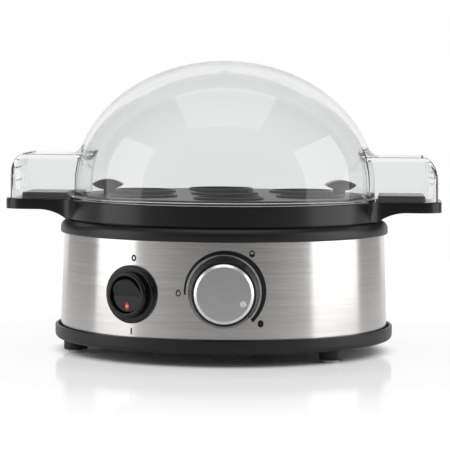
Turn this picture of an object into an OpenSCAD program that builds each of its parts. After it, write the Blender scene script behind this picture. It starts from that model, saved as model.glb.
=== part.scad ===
// Electric egg cooker: a steel-banded base with a heated water bowl, a lift-off
// tray with two ears, an egg rack and a clear domed lid.
//
// Millimetres, +Z up, the front with the knob and the switch faces -Y. The
// origin is on the table, under the middle of the outline seen from above.
// Every round piece is drawn about the body's own upright axis and then put
// in place by on_axis().

/* [Feet] */
// Thickness of the soft pad under each foot
pad_h = 1.3; // [0.8:0.1:3]
// Diameter of the soft pad
pad_d = 7.5; // [5.5:0.1:9]
// Diameter of a foot
foot_d = 12; // [10.5:0.1:15]
// Height of a foot above its pad
foot_h = 5; // [3.5:0.1:14]
// Radius of the circle that the feet stand on
foot_ring_r = 76; // [62:0.5:78]
// Direction of the first foot, seen from above
foot_angle = -46.6; // [-50:0.1:-30]

/* [Bottom cover] */
// Height of the cover's outer face
cover_h = 7; // [6.5:0.1:16]
// Thickness of the cover's floor
floor_t = 2.2; // [1.6:0.1:3.5]
// Thickness of the thin lip that stands round the steel band
lip_t = 1.5; // [1:0.1:2.5]
// Dark gap between the lip and the steel band
lip_gap = 1.2; // [0.3:0.1:2.5]
// Depth that the band sits down behind the lip
lip_depth = 2.6; // [2:0.1:4]
// Rounding of the cover's lower edge
cover_round = 2.5; // [1:0.1:4]
// Height of the screw bosses above the floor
boss_h = 14; // [8:0.5:24]
// Direction of the first case screw, seen from above
post_angle = -60; // [-66:1:-54]

/* [Steel band] */
// Radius of the band at its lower edge
shell_r = 82.6; // [78:0.1:96]
// How much narrower the band is at its upper edge
shell_taper = 1.9; // [0:0.1:3]
// Height of the band from edge to edge
shell_h = 50.8; // [46:0.1:70]
// Thickness of the steel
sheet = 0.6; // [0.4:0.1:1]

/* [Upper rim] */
// How far the rim stands out past the band's upper edge
rim_overhang = 2; // [1:0.1:4]
// Height of the rim
rim_h = 6.5; // [5.8:0.1:10]
// Rounding of the rim's upper outer edge
rim_round = 4; // [2:0.1:4.5]
// Depth of the groove that takes the band's upper edge
rim_groove = 2; // [1:0.1:3]
// Width of the rim, seen from above
rim_width = 10.4; // [9.4:0.1:12]
// Width of the inner ledge that carries the bowl
ledge_w = 6.3; // [5.5:0.1:9]
// Thickness of that ledge
ledge_t = 2.5; // [2:0.1:3.2]

/* [Heating bowl] */
// Depth of the water bowl
bowl_depth = 13; // [9:0.5:18]
// Thickness of the bowl
bowl_t = 1.2; // [0.8:0.1:2]
// Rounding between the bowl's floor and wall
bowl_round = 4; // [2.5:0.5:7]
// Thickness of the silicone seal under the bowl's flange
seal_t = 0.8; // [0.5:0.1:1.2]
// Radius of the aluminium plate under the bowl
plate_r = 52; // [49:0.5:56]
// Thickness of the aluminium plate
plate_t = 3; // [2.5:0.1:5]
// Diameter of the tubular heating element
element_d = 6.6; // [5.5:0.1:7.5]
// Radius of the heating element's ring
element_ring_r = 40; // [37:0.5:43]
// Arc of the ring that the element fills
element_arc = 310; // [290:1:320]

/* [Controls] */
// Drop from the bowl's underside to the middle of the knob
control_drop = 13.7; // [12:0.1:16]
// Diameter of the knob at its back
knob_d = 34; // [31:0.1:37]
// Length of the knob from back to front
knob_l = 13; // [12.5:0.1:22]
// Diameter of the silver cap
cap_d = 28.2; // [22:0.1:29]
// Gap between the knob's back and the steel
knob_gap = 0.8; // [0.5:0.1:2]
// Diameter of the regulator's shaft
shaft_d = 6; // [5:0.1:7]
// Angle of the knob's dimple below the right-hand side at rest
dimple_angle = 25.7; // [0:0.1:60]
// Direction of the switch, measured clockwise from the front
switch_angle = 32.8; // [31:0.1:38]
// How much lower the switch sits than the knob
switch_drop = 2.5; // [0:0.1:4]
// Diameter of the switch's collar
collar_d = 28; // [26:0.1:30]
// How far the collar stands out from the steel
collar_h = 1.9; // [1.6:0.1:4]
// Diameter of the switch's bezel
bezel_d = 22.4; // [21.6:0.1:24]
// Diameter of the rocker
rocker_d = 17; // [15:0.1:17.4]
// Angle that the rocker tips through from on to off
rocker_swing = 22; // [14:1:26]

/* [Cord gland] */
// Diameter of the hole for the cord
cord_hole_d = 6.4; // [5:0.1:8]
// Height of the gland above the cover's upper edge
gland_rise = 10.1; // [8.3:0.1:14]

/* [Steam tray] */
// Turn of the tray and lid on the base, seen from above
tray_turn = -4.4; // [-8:0.1:8]
// How far the tray's wall stands back from the rim's widest line
tray_inset = 3.7; // [3:0.1:5]
// Height of the tray above the rim
tray_h = 10.4; // [8:0.1:16]
// Thickness of the tray's walls and deck
tray_wall = 2.2; // [1.6:0.1:3]
// Dark gap line under the tray's outer edge
tray_line = 0.5; // [0.3:0.1:1]
// Reach of the tray's ears from the axis
ear_reach = 109.5; // [104:0.5:130]
// Width of the tray's ears
ear_w = 44; // [36:0.5:60]
// Thickness of the ears at their ends
ear_t = 5.3; // [4:0.1:8]
// Corner radius of the ears, seen from above
ear_corner = 10; // [6:0.5:14]
// Radius of the hollow curve under the ears
flare_r = 24; // [18:1:32]
// Height of the raised pad on each ear
ear_pad_h = 3; // [1.5:0.1:5]

/* [Egg rack] */
// Diameter of an egg hole
hole_d = 31; // [26:0.5:33]
// Radius of the circle of egg holes
hole_ring_r = 47.7; // [45:0.1:48.5]
// Turn of the rack, seen from above
rack_turn = 2.3; // [-4:0.1:4]
// Thickness of the rack's plate
rack_t = 2; // [1.4:0.1:3]
// Height of the raised collar round each hole
collar_rise = 1.3; // [0.6:0.1:3]
// Height of the finger tabs above the plate
tab_rise = 7.6; // [6.5:0.1:12]
// Radius that the finger tabs reach to
tab_reach = 67.2; // [64:0.1:69]

/* [Lid] */
// Width of the lid's foot flange outside the dome
flange_w = 2.7; // [1.5:0.1:4]
// Thickness of the lid's foot flange
flange_t = 1.4; // [1:0.1:2.5]
// Height of the straight skirt below the dome
skirt_h = 7.3; // [5:0.1:14]
// Height of the dome above its skirt
dome_h = 62.3; // [54:0.5:80]
// Thickness of the dome's wall
lid_wall = 2.8; // [2:0.1:4]
// Thickness of the dome at its top
crown_t = 3.8; // [2.5:0.1:5]
// Diameter of the steam hole
vent_d = 3.5; // [2.5:0.1:5]
// Height of the lid's ears above the tray
lid_ear_h = 22.2; // [16:0.1:30]
// Thickness of the lid's ears
lid_ear_wall = 2.4; // [1.6:0.1:3]
// Length of the curved nose at the end of the lid's ears
lid_nose_l = 8; // [6:0.5:12]
// Height of that curved nose
lid_nose_h = 13.5; // [7:0.5:15]

/* [Hidden] */
$fn = 96;
small_fn = 40;

// Clearances and small fixed details that several pieces share.
fit = 0.05;            // between pieces that are pressed or clamped together
slack = 0.4;           // between pieces that drop loosely into place
screw_r = 1.5;         // M3 screws
screw_head_r = 2.8;
screw_head_h = 1.9;
screw_play = 0.2;      // round a screw's shank in the piece that it clamps
washer_r = 3.2;        // small lands and rings round a screw
post_wall = 1.4;       // plastic round a screw
rest_gap = 0.03;       // under a piece that stands loose on another
lead_r = 1.3;          // insulated wire
tab_w = 6.3;           // spade terminals
tab_t = 0.8;
tab_l = 8;
edge = 0.4;            // broken edges of mouldings
ease = 0.3;            // between pieces that are pushed together by hand
cut = 1;               // how far a cutting solid runs past a face

// Heights, from the table up.
foot_z = pad_h;
cover_z = pad_h + foot_h;
floor_z = cover_z + floor_t;
shell_z = cover_z + cover_h - lip_depth;
shell_top_z = shell_z + shell_h;
rim_z = shell_top_z - rim_groove;
ledge_z = rim_z + ledge_t;
flange_z = ledge_z + seal_t;
flange_top_z = flange_z + bowl_t;
rim_top_z = rim_z + rim_h;
bowl_floor_z = flange_top_z - bowl_depth;
bowl_under_z = bowl_floor_z - bowl_t;
plate_z = bowl_under_z - plate_t;
element_z = plate_z - element_d / 2;
control_z = bowl_under_z - control_drop;
switch_z = control_z - switch_drop;
gland_z = cover_z + cover_h + gland_rise;
tray_z = rim_top_z + rest_gap;
deck_z = rim_top_z + tray_h;
rack_z = deck_z + rest_gap;
lid_z = deck_z + rest_gap;
boss_z = floor_z + boss_h;

// Radii, from the steel band in and out.
shell_top_r = shell_r - shell_taper;
lip_in_r = shell_r + lip_gap;
cover_r = lip_in_r + lip_t;
rim_r = shell_top_r + rim_overhang;
rim_open_r = rim_r - rim_width;
ledge_r = rim_open_r - ledge_w;
bowl_play = 1.2;       // round the bowl where it hangs through the ledge
bowl_r = ledge_r - bowl_play;
flange_r = rim_open_r - slack;
tray_r = rim_r - tray_inset;
lid_r = tray_r - ease;
dome_r = lid_r - flange_w;
dome_in_r = dome_r - lid_wall;
dome_z = lid_z + skirt_h;
dome_top_z = dome_z + dome_h;
rack_play = 3.2;       // round the rack under the dome
rack_r = dome_in_r - rack_play;
rack_seat_w = 5.5;
tray_open_r = rack_r - rack_seat_w;
post_r = screw_head_r + post_wall;
post_set_out = 1.2;    // from the rim's inner edge to the case screws
post_ring_r = rim_open_r + post_set_out;
lid_ear_set_in = 1.8;  // from the tray's ears to the lid's, all round
lid_ear_reach = ear_reach - lid_ear_set_in;
lid_ear_w = ear_w - 2 * lid_ear_set_in;

// Distance of the knob's front and back from the axis, and of the switch.
knob_back_r = shell_at(control_z - knob_d / 2) + knob_gap;
knob_front_r = knob_back_r + knob_l;
control_shell_r = shell_at(control_z);
switch_shell_r = shell_at(switch_z);
collar_front_r = switch_shell_r + collar_h;
bezel_t = 3.2;
bezel_front_r = collar_front_r + bezel_t;
switch_dir = -90 - switch_angle;
switch_body_r = 9.9;
pivot_depth = 3.2;
pivot_r = bezel_front_r - pivot_depth;

// The axis stands back so that the origin is under the outline's middle.
axis_y = (knob_front_r - cover_r) / 2;

// Radius of the steel band's outer face at height z.
function shell_at(z) = shell_r - shell_taper * (z - shell_z) / shell_h;

// Places its children on the body's axis, and there turned about it.
module on_axis() { translate([0, axis_y, 0]) children(); }
module turned(turn) { on_axis() rotate([0, 0, turn]) children(); }

// Copies its children to the three directions of a ring of fixings.
module round_three(first) {
  for (k = [0 : 2]) rotate([0, 0, first + 120 * k]) children();
}

// Turns local +Z outwards along a radius at height z; local +Y runs to the
// right as seen from outside, and local +X runs down.
module outward(direction, z) {
  translate([0, 0, z]) rotate([0, 0, direction]) rotate([0, 90, 0]) children();
}

// A tube between two heights, and a solid with the steel band's slope.
module ring(z, h, outer, inner) {
  translate([0, 0, z]) difference() {
    cylinder(h = h, r = outer);
    translate([0, 0, -cut]) cylinder(h = h + 2 * cut, r = inner);
  }
}
module band_solid(z0, z1, inset) {
  translate([0, 0, z0])
    cylinder(h = z1 - z0, r1 = shell_at(z0) - inset, r2 = shell_at(z1) - inset);
}

// Points of an arc in a profile, from angle a to angle b.
function arc(cx, cz, rx, rz, a, b, n) =
  [for (i = [0 : n]) let(t = a + (b - a) * i / n) [cx + rx * cos(t), cz + rz * sin(t)]];

// ---------------------------------------------------------------- base

// The cover's wall stands up inside the band as a low spigot.
spigot_r = shell_r - sheet - ease;
spigot_t = 1.8;
spigot_h = 2;
cover_profile = concat(
  [[0, cover_z]],
  arc(cover_r - cover_round, cover_z + cover_round, cover_round, cover_round, -90, 0, 6),
  [[cover_r, cover_z + cover_h - edge], [cover_r - edge, cover_z + cover_h],
   [lip_in_r, cover_z + cover_h], [lip_in_r, shell_z],
   [spigot_r, shell_z], [spigot_r, shell_z + spigot_h],
   [spigot_r - spigot_t, shell_z + spigot_h], [spigot_r - spigot_t, floor_z],
   [0, floor_z]]);
pad_pin_r = 2;
pad_pin_h = 3;
cover_mid_z = cover_z + floor_t / 2;

module bottom_cover() on_axis() color([0.09, 0.09, 0.09]) {
  difference() {
    union() {
      rotate_extrude() polygon(cover_profile);
      round_three(foot_angle) translate([foot_ring_r, 0, foot_z])
        cylinder(h = cover_mid_z - foot_z, d = foot_d, $fn = small_fn);
      round_three(post_angle) translate([post_ring_r, 0, cover_mid_z])
        cylinder(h = boss_z - cover_mid_z, r = recess_r + post_wall, $fn = small_fn);
    }
    round_three(foot_angle) translate([foot_ring_r, 0, foot_z - cut])
      cylinder(h = pad_pin_h + cut + slack, r = pad_pin_r + fit, $fn = small_fn);
    round_three(post_angle) translate([post_ring_r, 0, cover_z - cut]) {
      cylinder(h = boss_z, r = screw_r + screw_play, $fn = small_fn);
      cylinder(h = screw_seat_z - cover_z + cut, r = recess_r, $fn = small_fn);
    }
  }
}

// The three soft pads that the cooker stands on, each with its pin.
module foot_pads() on_axis() color([0.86, 0.86, 0.82])
  round_three(foot_angle) translate([foot_ring_r, 0, 0]) {
    cylinder(h = pad_h, d = pad_d, $fn = small_fn);
    cylinder(h = pad_h + pad_pin_h, r = pad_pin_r, $fn = small_fn);
  }

// Screws that hold the cover, band and rim together, put in from below.
screw_seat_z = boss_z - 4;
recess_r = screw_head_r + slack;
case_screw_l = 14;
module case_screws() on_axis() color("silver")
  round_three(post_angle) translate([post_ring_r, 0, screw_seat_z]) screw(case_screw_l);

// A pan-head screw: its head hangs below z = 0 and its shank stands above.
slot_l = 4;
slot_w = 0.8;
slot_d = 1;
module screw(length) {
  difference() {
    translate([0, 0, -screw_head_h])
      cylinder(h = screw_head_h, r = screw_head_r, $fn = small_fn);
    translate([0, 0, -screw_head_h]) for (a = [0, 90]) rotate([0, 0, a])
      cube([slot_l, slot_w, 2 * slot_d], center = true);
  }
  cylinder(h = length, r = screw_r, $fn = small_fn);
}

// The band's three holes take the regulator's bush, the switch and the gland.
bush_r = 4.75;
gland_neck_r = 5.5;
hole_play = 0.15;
module steel_shell() on_axis() color([0.68, 0.67, 0.65]) difference() {
  band_solid(shell_z, shell_top_z, 0);
  band_solid(shell_z - cut, shell_top_z + cut, sheet);
  outward(-90, control_z) translate([0, 0, shell_r / 2])
    cylinder(h = shell_r, r = bush_r + hole_play, $fn = small_fn);
  outward(switch_dir, switch_z) translate([0, 0, shell_r / 2])
    cylinder(h = shell_r, r = switch_body_r + hole_play);
  outward(90, gland_z) translate([0, 0, shell_r / 2])
    cylinder(h = shell_r, r = gland_neck_r + fit, $fn = small_fn);
}

groove_in_r = shell_top_r - sheet - hole_play;
groove_out_r = shell_at(rim_z) + hole_play;
rim_under_round = 0.8;
rim_profile = concat(
  [[ledge_r, rim_z], [groove_in_r, rim_z], [groove_in_r, shell_top_z],
   [groove_out_r, shell_top_z], [groove_out_r, rim_z]],
  arc(rim_r - rim_under_round, rim_z + rim_under_round, rim_under_round, rim_under_round,
      -90, 0, 4),
  arc(rim_r - rim_round, rim_top_z - rim_round, rim_round, rim_round, 0, 90, 10),
  [[rim_open_r, rim_top_z], [rim_open_r, ledge_z], [ledge_r, ledge_z]]);
bracket_ring_r = ledge_r + 4.5;
bracket_angle = post_angle + 60;
bracket_boss_h = 4;
bracket_boss_r = 3.4;
bracket_bore_h = 5.5;
module upper_rim() on_axis() color([0.1, 0.1, 0.1]) difference() {
  union() {
    rotate_extrude() polygon(rim_profile);
    round_three(post_angle) translate([post_ring_r, 0, boss_z])
      cylinder(h = rim_z + ledge_t / 2 - boss_z, r = post_r, $fn = small_fn);
    round_three(bracket_angle) translate([bracket_ring_r, 0, rim_z - bracket_boss_h])
      cylinder(h = bracket_boss_h + ledge_t / 2, r = bracket_boss_r, $fn = small_fn);
  }
  round_three(post_angle) translate([post_ring_r, 0, boss_z - cut])
    cylinder(h = case_screw_l, r = screw_r + fit, $fn = small_fn);
  round_three(bracket_angle) translate([bracket_ring_r, 0, rim_z - bracket_boss_h - cut])
    cylinder(h = bracket_bore_h + cut, r = screw_r + fit, $fn = small_fn);
}

// ---------------------------------------------------------------- heater

bowl_profile = concat(
  [[0, bowl_under_z]],
  arc(bowl_r - bowl_round, bowl_under_z + bowl_round, bowl_round, bowl_round, -90, 0, 8),
  [[bowl_r, flange_z], [flange_r, flange_z], [flange_r, flange_top_z],
   [bowl_r - bowl_t, flange_top_z]],
  arc(bowl_r - bowl_round, bowl_floor_z + bowl_round - bowl_t,
      bowl_round - bowl_t, bowl_round - bowl_t, 0, -90, 8),
  [[0, bowl_floor_z]]);
module heating_bowl() on_axis() color([0.5, 0.5, 0.52])
  rotate_extrude() polygon(bowl_profile);

module bowl_seal() on_axis() color([0.75, 0.3, 0.25])
  ring(ledge_z, seal_t, flange_r, ledge_r);

// Angle brackets welded to the bowl's wall and screwed up into the rim.
bracket_t = 1.2;
bracket_w = 12;
bracket_z = rim_z - bracket_boss_h - bracket_t;
bracket_h = bracket_t + bracket_boss_h - 0.5;
bracket_in_r = bowl_r - 2;
module bowl_brackets() on_axis() color([0.72, 0.72, 0.7]) difference() {
  round_three(bracket_angle) translate([bracket_in_r, -bracket_w / 2, bracket_z]) {
    cube([bracket_ring_r + bracket_boss_r - bracket_in_r, bracket_w, bracket_t]);
    cube([bowl_r + bracket_t - bracket_in_r, bracket_w, bracket_h]);
  }
  translate([0, 0, bracket_z - cut]) cylinder(h = bracket_h + 2 * cut, r = bowl_r + fit);
  round_three(bracket_angle) translate([bracket_ring_r, 0, bracket_z - cut])
    cylinder(h = bracket_t + 2 * cut, r = screw_r + fit, $fn = small_fn);
}
module bracket_screws() on_axis() color("silver")
  round_three(bracket_angle) translate([bracket_ring_r, 0, bracket_z])
    screw(bracket_t + bracket_boss_h);

// Where the small pieces sit under the aluminium plate.
rib_w = 5;
thermostat_r = 8.5;
thermostat_flange_t = 1.2;
thermostat_body_r = 7;
thermostat_body_h = 7;
strap_screw_x = 15;
strap_t = 1;
strap_w = 9;
strap_l = 2 * (strap_screw_x + 4);
fuse_y = 22;
fuse_r = 2;
fuse_l = 11;
fuse_lead_l = 6.5;
fuse_wire_r = 0.5;
clamp_t = 0.8;
clamp_w = 8;
clamp_foot = 4;
clamp_screw_y = 7;
earth_at = 26 * [cos(215), sin(215)];
stud_depth = plate_t - 0.8;
strap_holes = [[-strap_screw_x, 0], [strap_screw_x, 0]];
flat_holes = [[0, fuse_y + clamp_screw_y], earth_at];

module heat_spreader() on_axis() color([0.78, 0.79, 0.8]) difference() {
  union() {
    translate([0, 0, plate_z]) cylinder(h = plate_t, r = plate_r);
    ring(element_z, plate_z - element_z, element_ring_r + rib_w, element_ring_r - rib_w);
    for (at = strap_holes) translate([at[0], at[1], plate_z - thermostat_flange_t])
      cylinder(h = thermostat_flange_t, r = washer_r, $fn = small_fn);
  }
  translate([0, 0, element_z]) rotate_extrude()
    translate([element_ring_r, 0]) circle(d = element_d + 2 * fit, $fn = small_fn);
  for (at = concat(strap_holes, flat_holes))
    translate([at[0], at[1], plate_z - thermostat_flange_t - cut])
      cylinder(h = thermostat_flange_t + cut + stud_depth, r = screw_r + fit, $fn = small_fn);
}

element_gap = (360 - element_arc) / 2;
element_leg = 12;
element_leg_step = 0.3;
element_leg_r = element_d / 2 - element_leg_step;
element_leg_angle = element_gap + asin(element_d / 2 / element_ring_r);
element_pin = 3;
element_pin_r = 1.2;
module at_element_ends() for (s = [-1, 1])
  rotate([0, 0, s * element_leg_angle]) translate([element_ring_r, 0, element_z]) children();
module heating_element() on_axis() color([0.35, 0.34, 0.33]) {
  translate([0, 0, element_z]) rotate([0, 0, element_gap])
    rotate_extrude(angle = element_arc)
      translate([element_ring_r, 0]) circle(d = element_d, $fn = small_fn);
  at_element_ends() translate([0, 0, -element_leg])
    cylinder(h = element_leg, r = element_leg_r, $fn = small_fn);
}
module element_terminals() on_axis() color("silver") at_element_ends() {
  translate([0, 0, -element_leg - element_pin - 1])
    cylinder(h = element_pin + 1, r = element_pin_r, $fn = small_fn);
  translate([0, 0, -element_leg - element_pin - tab_l / 2])
    cube([tab_t, tab_w, tab_l], center = true);
}

thermostat_under_z = plate_z - thermostat_flange_t - thermostat_body_h;
thermostat_tab_x = 4;
module boil_dry_thermostat() on_axis() color([0.2, 0.17, 0.15]) {
  translate([0, 0, plate_z - thermostat_flange_t])
    cylinder(h = thermostat_flange_t, r = thermostat_r, $fn = small_fn);
  translate([0, 0, thermostat_under_z])
    cylinder(h = thermostat_body_h + 1, r = thermostat_body_r, $fn = small_fn);
  for (s = [-1, 1]) translate([s * thermostat_tab_x, 0, thermostat_under_z - tab_l / 2 + 0.5])
    cube([tab_t, tab_w, tab_l + 1], center = true);
}
module thermostat_bracket() on_axis() color("silver")
  translate([0, 0, plate_z - thermostat_flange_t - strap_t]) difference() {
    union() {
      translate([0, 0, strap_t / 2]) cube([strap_l, strap_w, strap_t], center = true);
      cylinder(h = strap_t, r = thermostat_body_r + washer_r, $fn = small_fn);
    }
    translate([0, 0, -cut])
      cylinder(h = strap_t + 2 * cut, r = thermostat_body_r + fit, $fn = small_fn);
    for (at = strap_holes) translate([at[0], at[1], -cut])
      cylinder(h = strap_t + 2 * cut, r = screw_r + fit, $fn = small_fn);
  }

fuse_z = plate_z - fuse_r - fit;
module thermal_fuse() on_axis() color([0.85, 0.82, 0.7])
  translate([0, fuse_y, fuse_z]) rotate([0, 90, 0]) {
    cylinder(h = fuse_l, r = fuse_r, center = true, $fn = small_fn);
    cylinder(h = fuse_l + 2 * fuse_lead_l, r = fuse_wire_r, center = true, $fn = small_fn);
  }
// A strap's U-shaped section round the fuse, of a given radius, open to the plate.
module saddle(r, top) {
  translate([0, fuse_z - plate_z]) circle(r = r, $fn = small_fn);
  translate([-r, fuse_z - plate_z]) square([2 * r, plate_z - fuse_z + top]);
}
module fuse_clamp() on_axis() color("silver") difference() {
  translate([-clamp_w / 2, fuse_y, plate_z]) rotate([90, 0, 90])
    linear_extrude(height = clamp_w) difference() {
      union() {
        saddle(fuse_r + fit + clamp_t, 0);
        translate([-fuse_r - clamp_foot, -clamp_t])
          square([fuse_r + 2 * clamp_foot + clamp_screw_y, clamp_t]);
      }
      saddle(fuse_r + fit, cut);
    }
  translate([0, fuse_y + clamp_screw_y, plate_z - clamp_t - cut])
    cylinder(h = clamp_t + 2 * cut, r = screw_r + fit, $fn = small_fn);
}
module heater_screws() on_axis() color("silver") {
  for (at = strap_holes) translate([at[0], at[1], plate_z - thermostat_flange_t - strap_t])
    screw(strap_t + thermostat_flange_t + stud_depth - slack);
  for (at = flat_holes) translate([at[0], at[1], plate_z - clamp_t])
    screw(clamp_t + stud_depth - slack);
}

// ---------------------------------------------------------------- regulator and knob

regulator_r = control_drop - 0.6;
regulator_l = 16;
yoke_t = 1.2;
yoke_w = 34;
yoke_h = 2 * regulator_r + 2;
yoke_depth = 5.2;
yoke_front_r = control_shell_r - sheet - yoke_depth;
regulator_front_r = yoke_front_r - yoke_t;
regulator_back_r = regulator_front_r - regulator_l;
nut_r = 8.1;
nut_t = 2.6;
nut_back_r = shell_at(control_z - nut_r);
bush_front_r = nut_back_r + nut_t + 1;
regulator_base_t = 1.5;
regulator_tab_y = 6;

// Turns a stack along the knob's axis; z is the distance from the body's axis.
module knob_stack() on_axis() outward(-90, control_z) children();

module regulator_body() color([0.25, 0.25, 0.27]) knob_stack() difference() {
  union() {
    translate([0, 0, regulator_back_r]) cylinder(h = regulator_l, r = regulator_r);
    translate([0, 0, regulator_front_r - cut])
      cylinder(h = bush_front_r - regulator_front_r + cut, r = bush_r, $fn = small_fn);
  }
  translate([0, 0, regulator_back_r + regulator_base_t])
    cylinder(h = 2 * knob_front_r, d = shaft_d + 2 * fit, $fn = small_fn);
}

// A pressed steel yoke whose two cheeks bear on the inside of the band.
module regulator_bracket() color([0.72, 0.72, 0.7]) difference() {
  intersection() {
    knob_stack() translate([-yoke_h / 2, 0, regulator_front_r]) {
      translate([0, -yoke_w / 2, 0]) cube([yoke_h, yoke_w, yoke_t]);
      for (y = [-yoke_w / 2, yoke_w / 2 - yoke_t]) translate([0, y, 0])
        cube([yoke_h, yoke_t, shell_r]);
    }
    on_axis() band_solid(shell_z, shell_top_z, sheet + fit);
  }
  knob_stack() translate([0, 0, shell_r / 2])
    cylinder(h = shell_r, r = bush_r + fit, $fn = small_fn);
}

module regulator_nut() color("silver") knob_stack()
  translate([0, 0, nut_back_r]) difference() {
    cylinder(h = nut_t, r = nut_r, $fn = 6);
    translate([0, 0, -cut]) cylinder(h = nut_t + 2 * cut, r = bush_r + fit, $fn = small_fn);
  }

module regulator_terminals() color("silver") knob_stack() for (s = [-1, 1])
  translate([0, s * regulator_tab_y, regulator_back_r - tab_l / 2])
    cube([tab_w, tab_t, tab_l], center = true);

shaft_back_r = regulator_back_r + regulator_base_t + 1;
shaft_front_r = knob_front_r - 5;
hub_back_r = bush_front_r + 0.5;
hub_wall = 2.5;
hub_r = shaft_d / 2 + hub_wall;
cap_t = 3.2;
cap_r = cap_d / 2;
cap_seat_r = knob_front_r - cap_t;
cap_chamfer = 0.9;
knob_wall = 2;
skirt_l = 3;           // straight stretch at the knob's back

nose_r = cap_r + 1.1;  // the knob's rim round the cap
nose_edge = 0.6;
cap_proud = 1.6;       // how far the cap stands out of that rim

// The shaft's outline with its flat, widened by a clearance.
module shaft_section(gap) intersection() {
  circle(d = shaft_d + 2 * gap, $fn = small_fn);
  translate([-shaft_d, -shaft_d]) square([2 * shaft_d, 1.6 * shaft_d + gap]);
}
module regulator_shaft() color("silver") knob_stack() {
  translate([0, 0, shaft_back_r])
    cylinder(h = hub_back_r - shaft_back_r, d = shaft_d, $fn = small_fn);
  translate([0, 0, hub_back_r - cut])
    linear_extrude(height = shaft_front_r - hub_back_r + cut) shaft_section(0);
}

// The knob's black body: a tapered shell with a hub on the shaft.
module knob_body() color([0.08, 0.08, 0.08]) knob_stack() {
  difference() {
    translate([0, 0, knob_back_r]) rotate_extrude() polygon([
      [knob_d / 2 - knob_wall, 0], [knob_d / 2 - edge, 0], [knob_d / 2, edge],
      [knob_d / 2, skirt_l], [nose_r, knob_l - cap_proud - nose_edge],
      [nose_r - nose_edge, knob_l - cap_proud], [cap_r + fit, knob_l - cap_proud],
      [cap_r + fit, knob_l - cap_t], [0, knob_l - cap_t],
      [0, knob_l - cap_t - knob_wall], [cap_r - 1, knob_l - cap_t - knob_wall]]);
    hub_bore();
  }
  difference() {
    translate([0, 0, hub_back_r])
      cylinder(h = cap_seat_r - knob_wall / 2 - hub_back_r, r = hub_r, $fn = small_fn);
    hub_bore();
  }
}
module hub_bore() translate([0, 0, hub_back_r - cut])
  linear_extrude(height = shaft_front_r - hub_back_r + cut + slack) shaft_section(fit);

dimple_ring_r = 10;
dimple_r = 1.4;
dimple_depth = 0.6;
module knob_cap() color([0.75, 0.75, 0.75]) knob_stack() difference() {
  translate([0, 0, cap_seat_r]) rotate_extrude() polygon([
    [0, 0], [cap_r, 0], [cap_r, cap_t - cap_chamfer], [cap_r - cap_chamfer, cap_t],
    [0, cap_t]]);
  translate([dimple_ring_r * sin(dimple_angle), dimple_ring_r * cos(dimple_angle),
             knob_front_r + dimple_r - dimple_depth])
    sphere(r = dimple_r, $fn = small_fn);
}
clip_t = 0.7;
clip_w = 3.2;
clip_arc = 300;
module knob_spring_clip() color("silver") knob_stack()
  translate([0, 0, hub_back_r + ease]) rotate_extrude(angle = clip_arc)
    translate([hub_r + fit, 0]) square([clip_t, clip_w]);

// ---------------------------------------------------------------- switch

switch_well_r = rocker_d / 2 + 0.35;
switch_l = 24;
switch_back_r = bezel_front_r - switch_l;
well_floor_r = pivot_r - 7.5;
pivot_pin_r = 1.5;
pivot_pin_l = 2 * switch_well_r + 1.2;
collar_round = 1;
bezel_round = 1.2;
barb_w = 5;
barb_l = 6;
barb_rise = 1.2;
rocker_dip = 1.6;
rocker_under = 4;
switch_tab_x = 4;
barb_front_r = switch_shell_r - sheet - 0.7;

module switch_stack() on_axis() outward(switch_dir, switch_z) children();

module switch_collar() color([0.08, 0.08, 0.08]) difference() {
  switch_stack() translate([0, 0, collar_front_r]) rotate_extrude() polygon(concat(
    [[switch_body_r + fit, -2 * collar_h], [collar_d / 2, -2 * collar_h]],
    arc(collar_d / 2 - collar_round, -collar_round, collar_round, collar_round, 0, 90, 5),
    [[switch_body_r + fit, 0]]));
  on_axis() band_solid(shell_z, shell_top_z, -fit);
}

module switch_body() color([0.07, 0.07, 0.07]) switch_stack() difference() {
  union() {
    rotate_extrude() polygon(concat(
      [[0, switch_back_r], [switch_body_r, switch_back_r],
       [switch_body_r, collar_front_r], [bezel_d / 2, collar_front_r]],
      arc(bezel_d / 2 - bezel_round, bezel_front_r - bezel_round, bezel_round, bezel_round,
          0, 90, 5),
      [[switch_well_r + edge, bezel_front_r], [switch_well_r, bezel_front_r - edge],
       [switch_well_r, well_floor_r], [0, well_floor_r]]));
    for (s = [-1, 1])
      translate([s * switch_body_r - barb_rise, -barb_w / 2, barb_front_r - barb_l])
        cube([2 * barb_rise, barb_w, barb_l]);
  }
  translate([0, 0, well_floor_r]) cylinder(h = switch_l, r = switch_well_r);
  translate([0, 0, pivot_r]) rotate([90, 0, 0])
    cylinder(h = pivot_pin_l + slack, r = pivot_pin_r + fit, center = true, $fn = small_fn);
}
module switch_terminals() color("silver") switch_stack() for (s = [-1, 1])
  translate([s * switch_tab_x, 0, switch_back_r - tab_l / 2])
    cube([tab_t, tab_w, tab_l], center = true);

// The rocker tips about local Y; at rest its lower end is pressed in: on.
module rocker_frame() switch_stack() translate([0, 0, pivot_r])
  rotate([0, rocker_swing / 2, 0]) children();

module rocker() color([0.12, 0.12, 0.12]) rocker_frame() {
  difference() {
    sphere(d = rocker_d);
    for (s = [-1, 1]) translate([0, 0, rocker_dip]) rotate([0, -s * rocker_swing / 2, 0])
      translate([s > 0 ? 0 : -rocker_d, -rocker_d, 0]) cube([rocker_d, 2 * rocker_d, rocker_d]);
    translate([-rocker_d, -rocker_d, -rocker_under - rocker_d]) cube(2 * rocker_d * [1, 1, 0.5]);
    lens_shape();
  }
  rotate([90, 0, 0])
    cylinder(h = pivot_pin_l, r = pivot_pin_r, center = true, $fn = small_fn);
}

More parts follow.
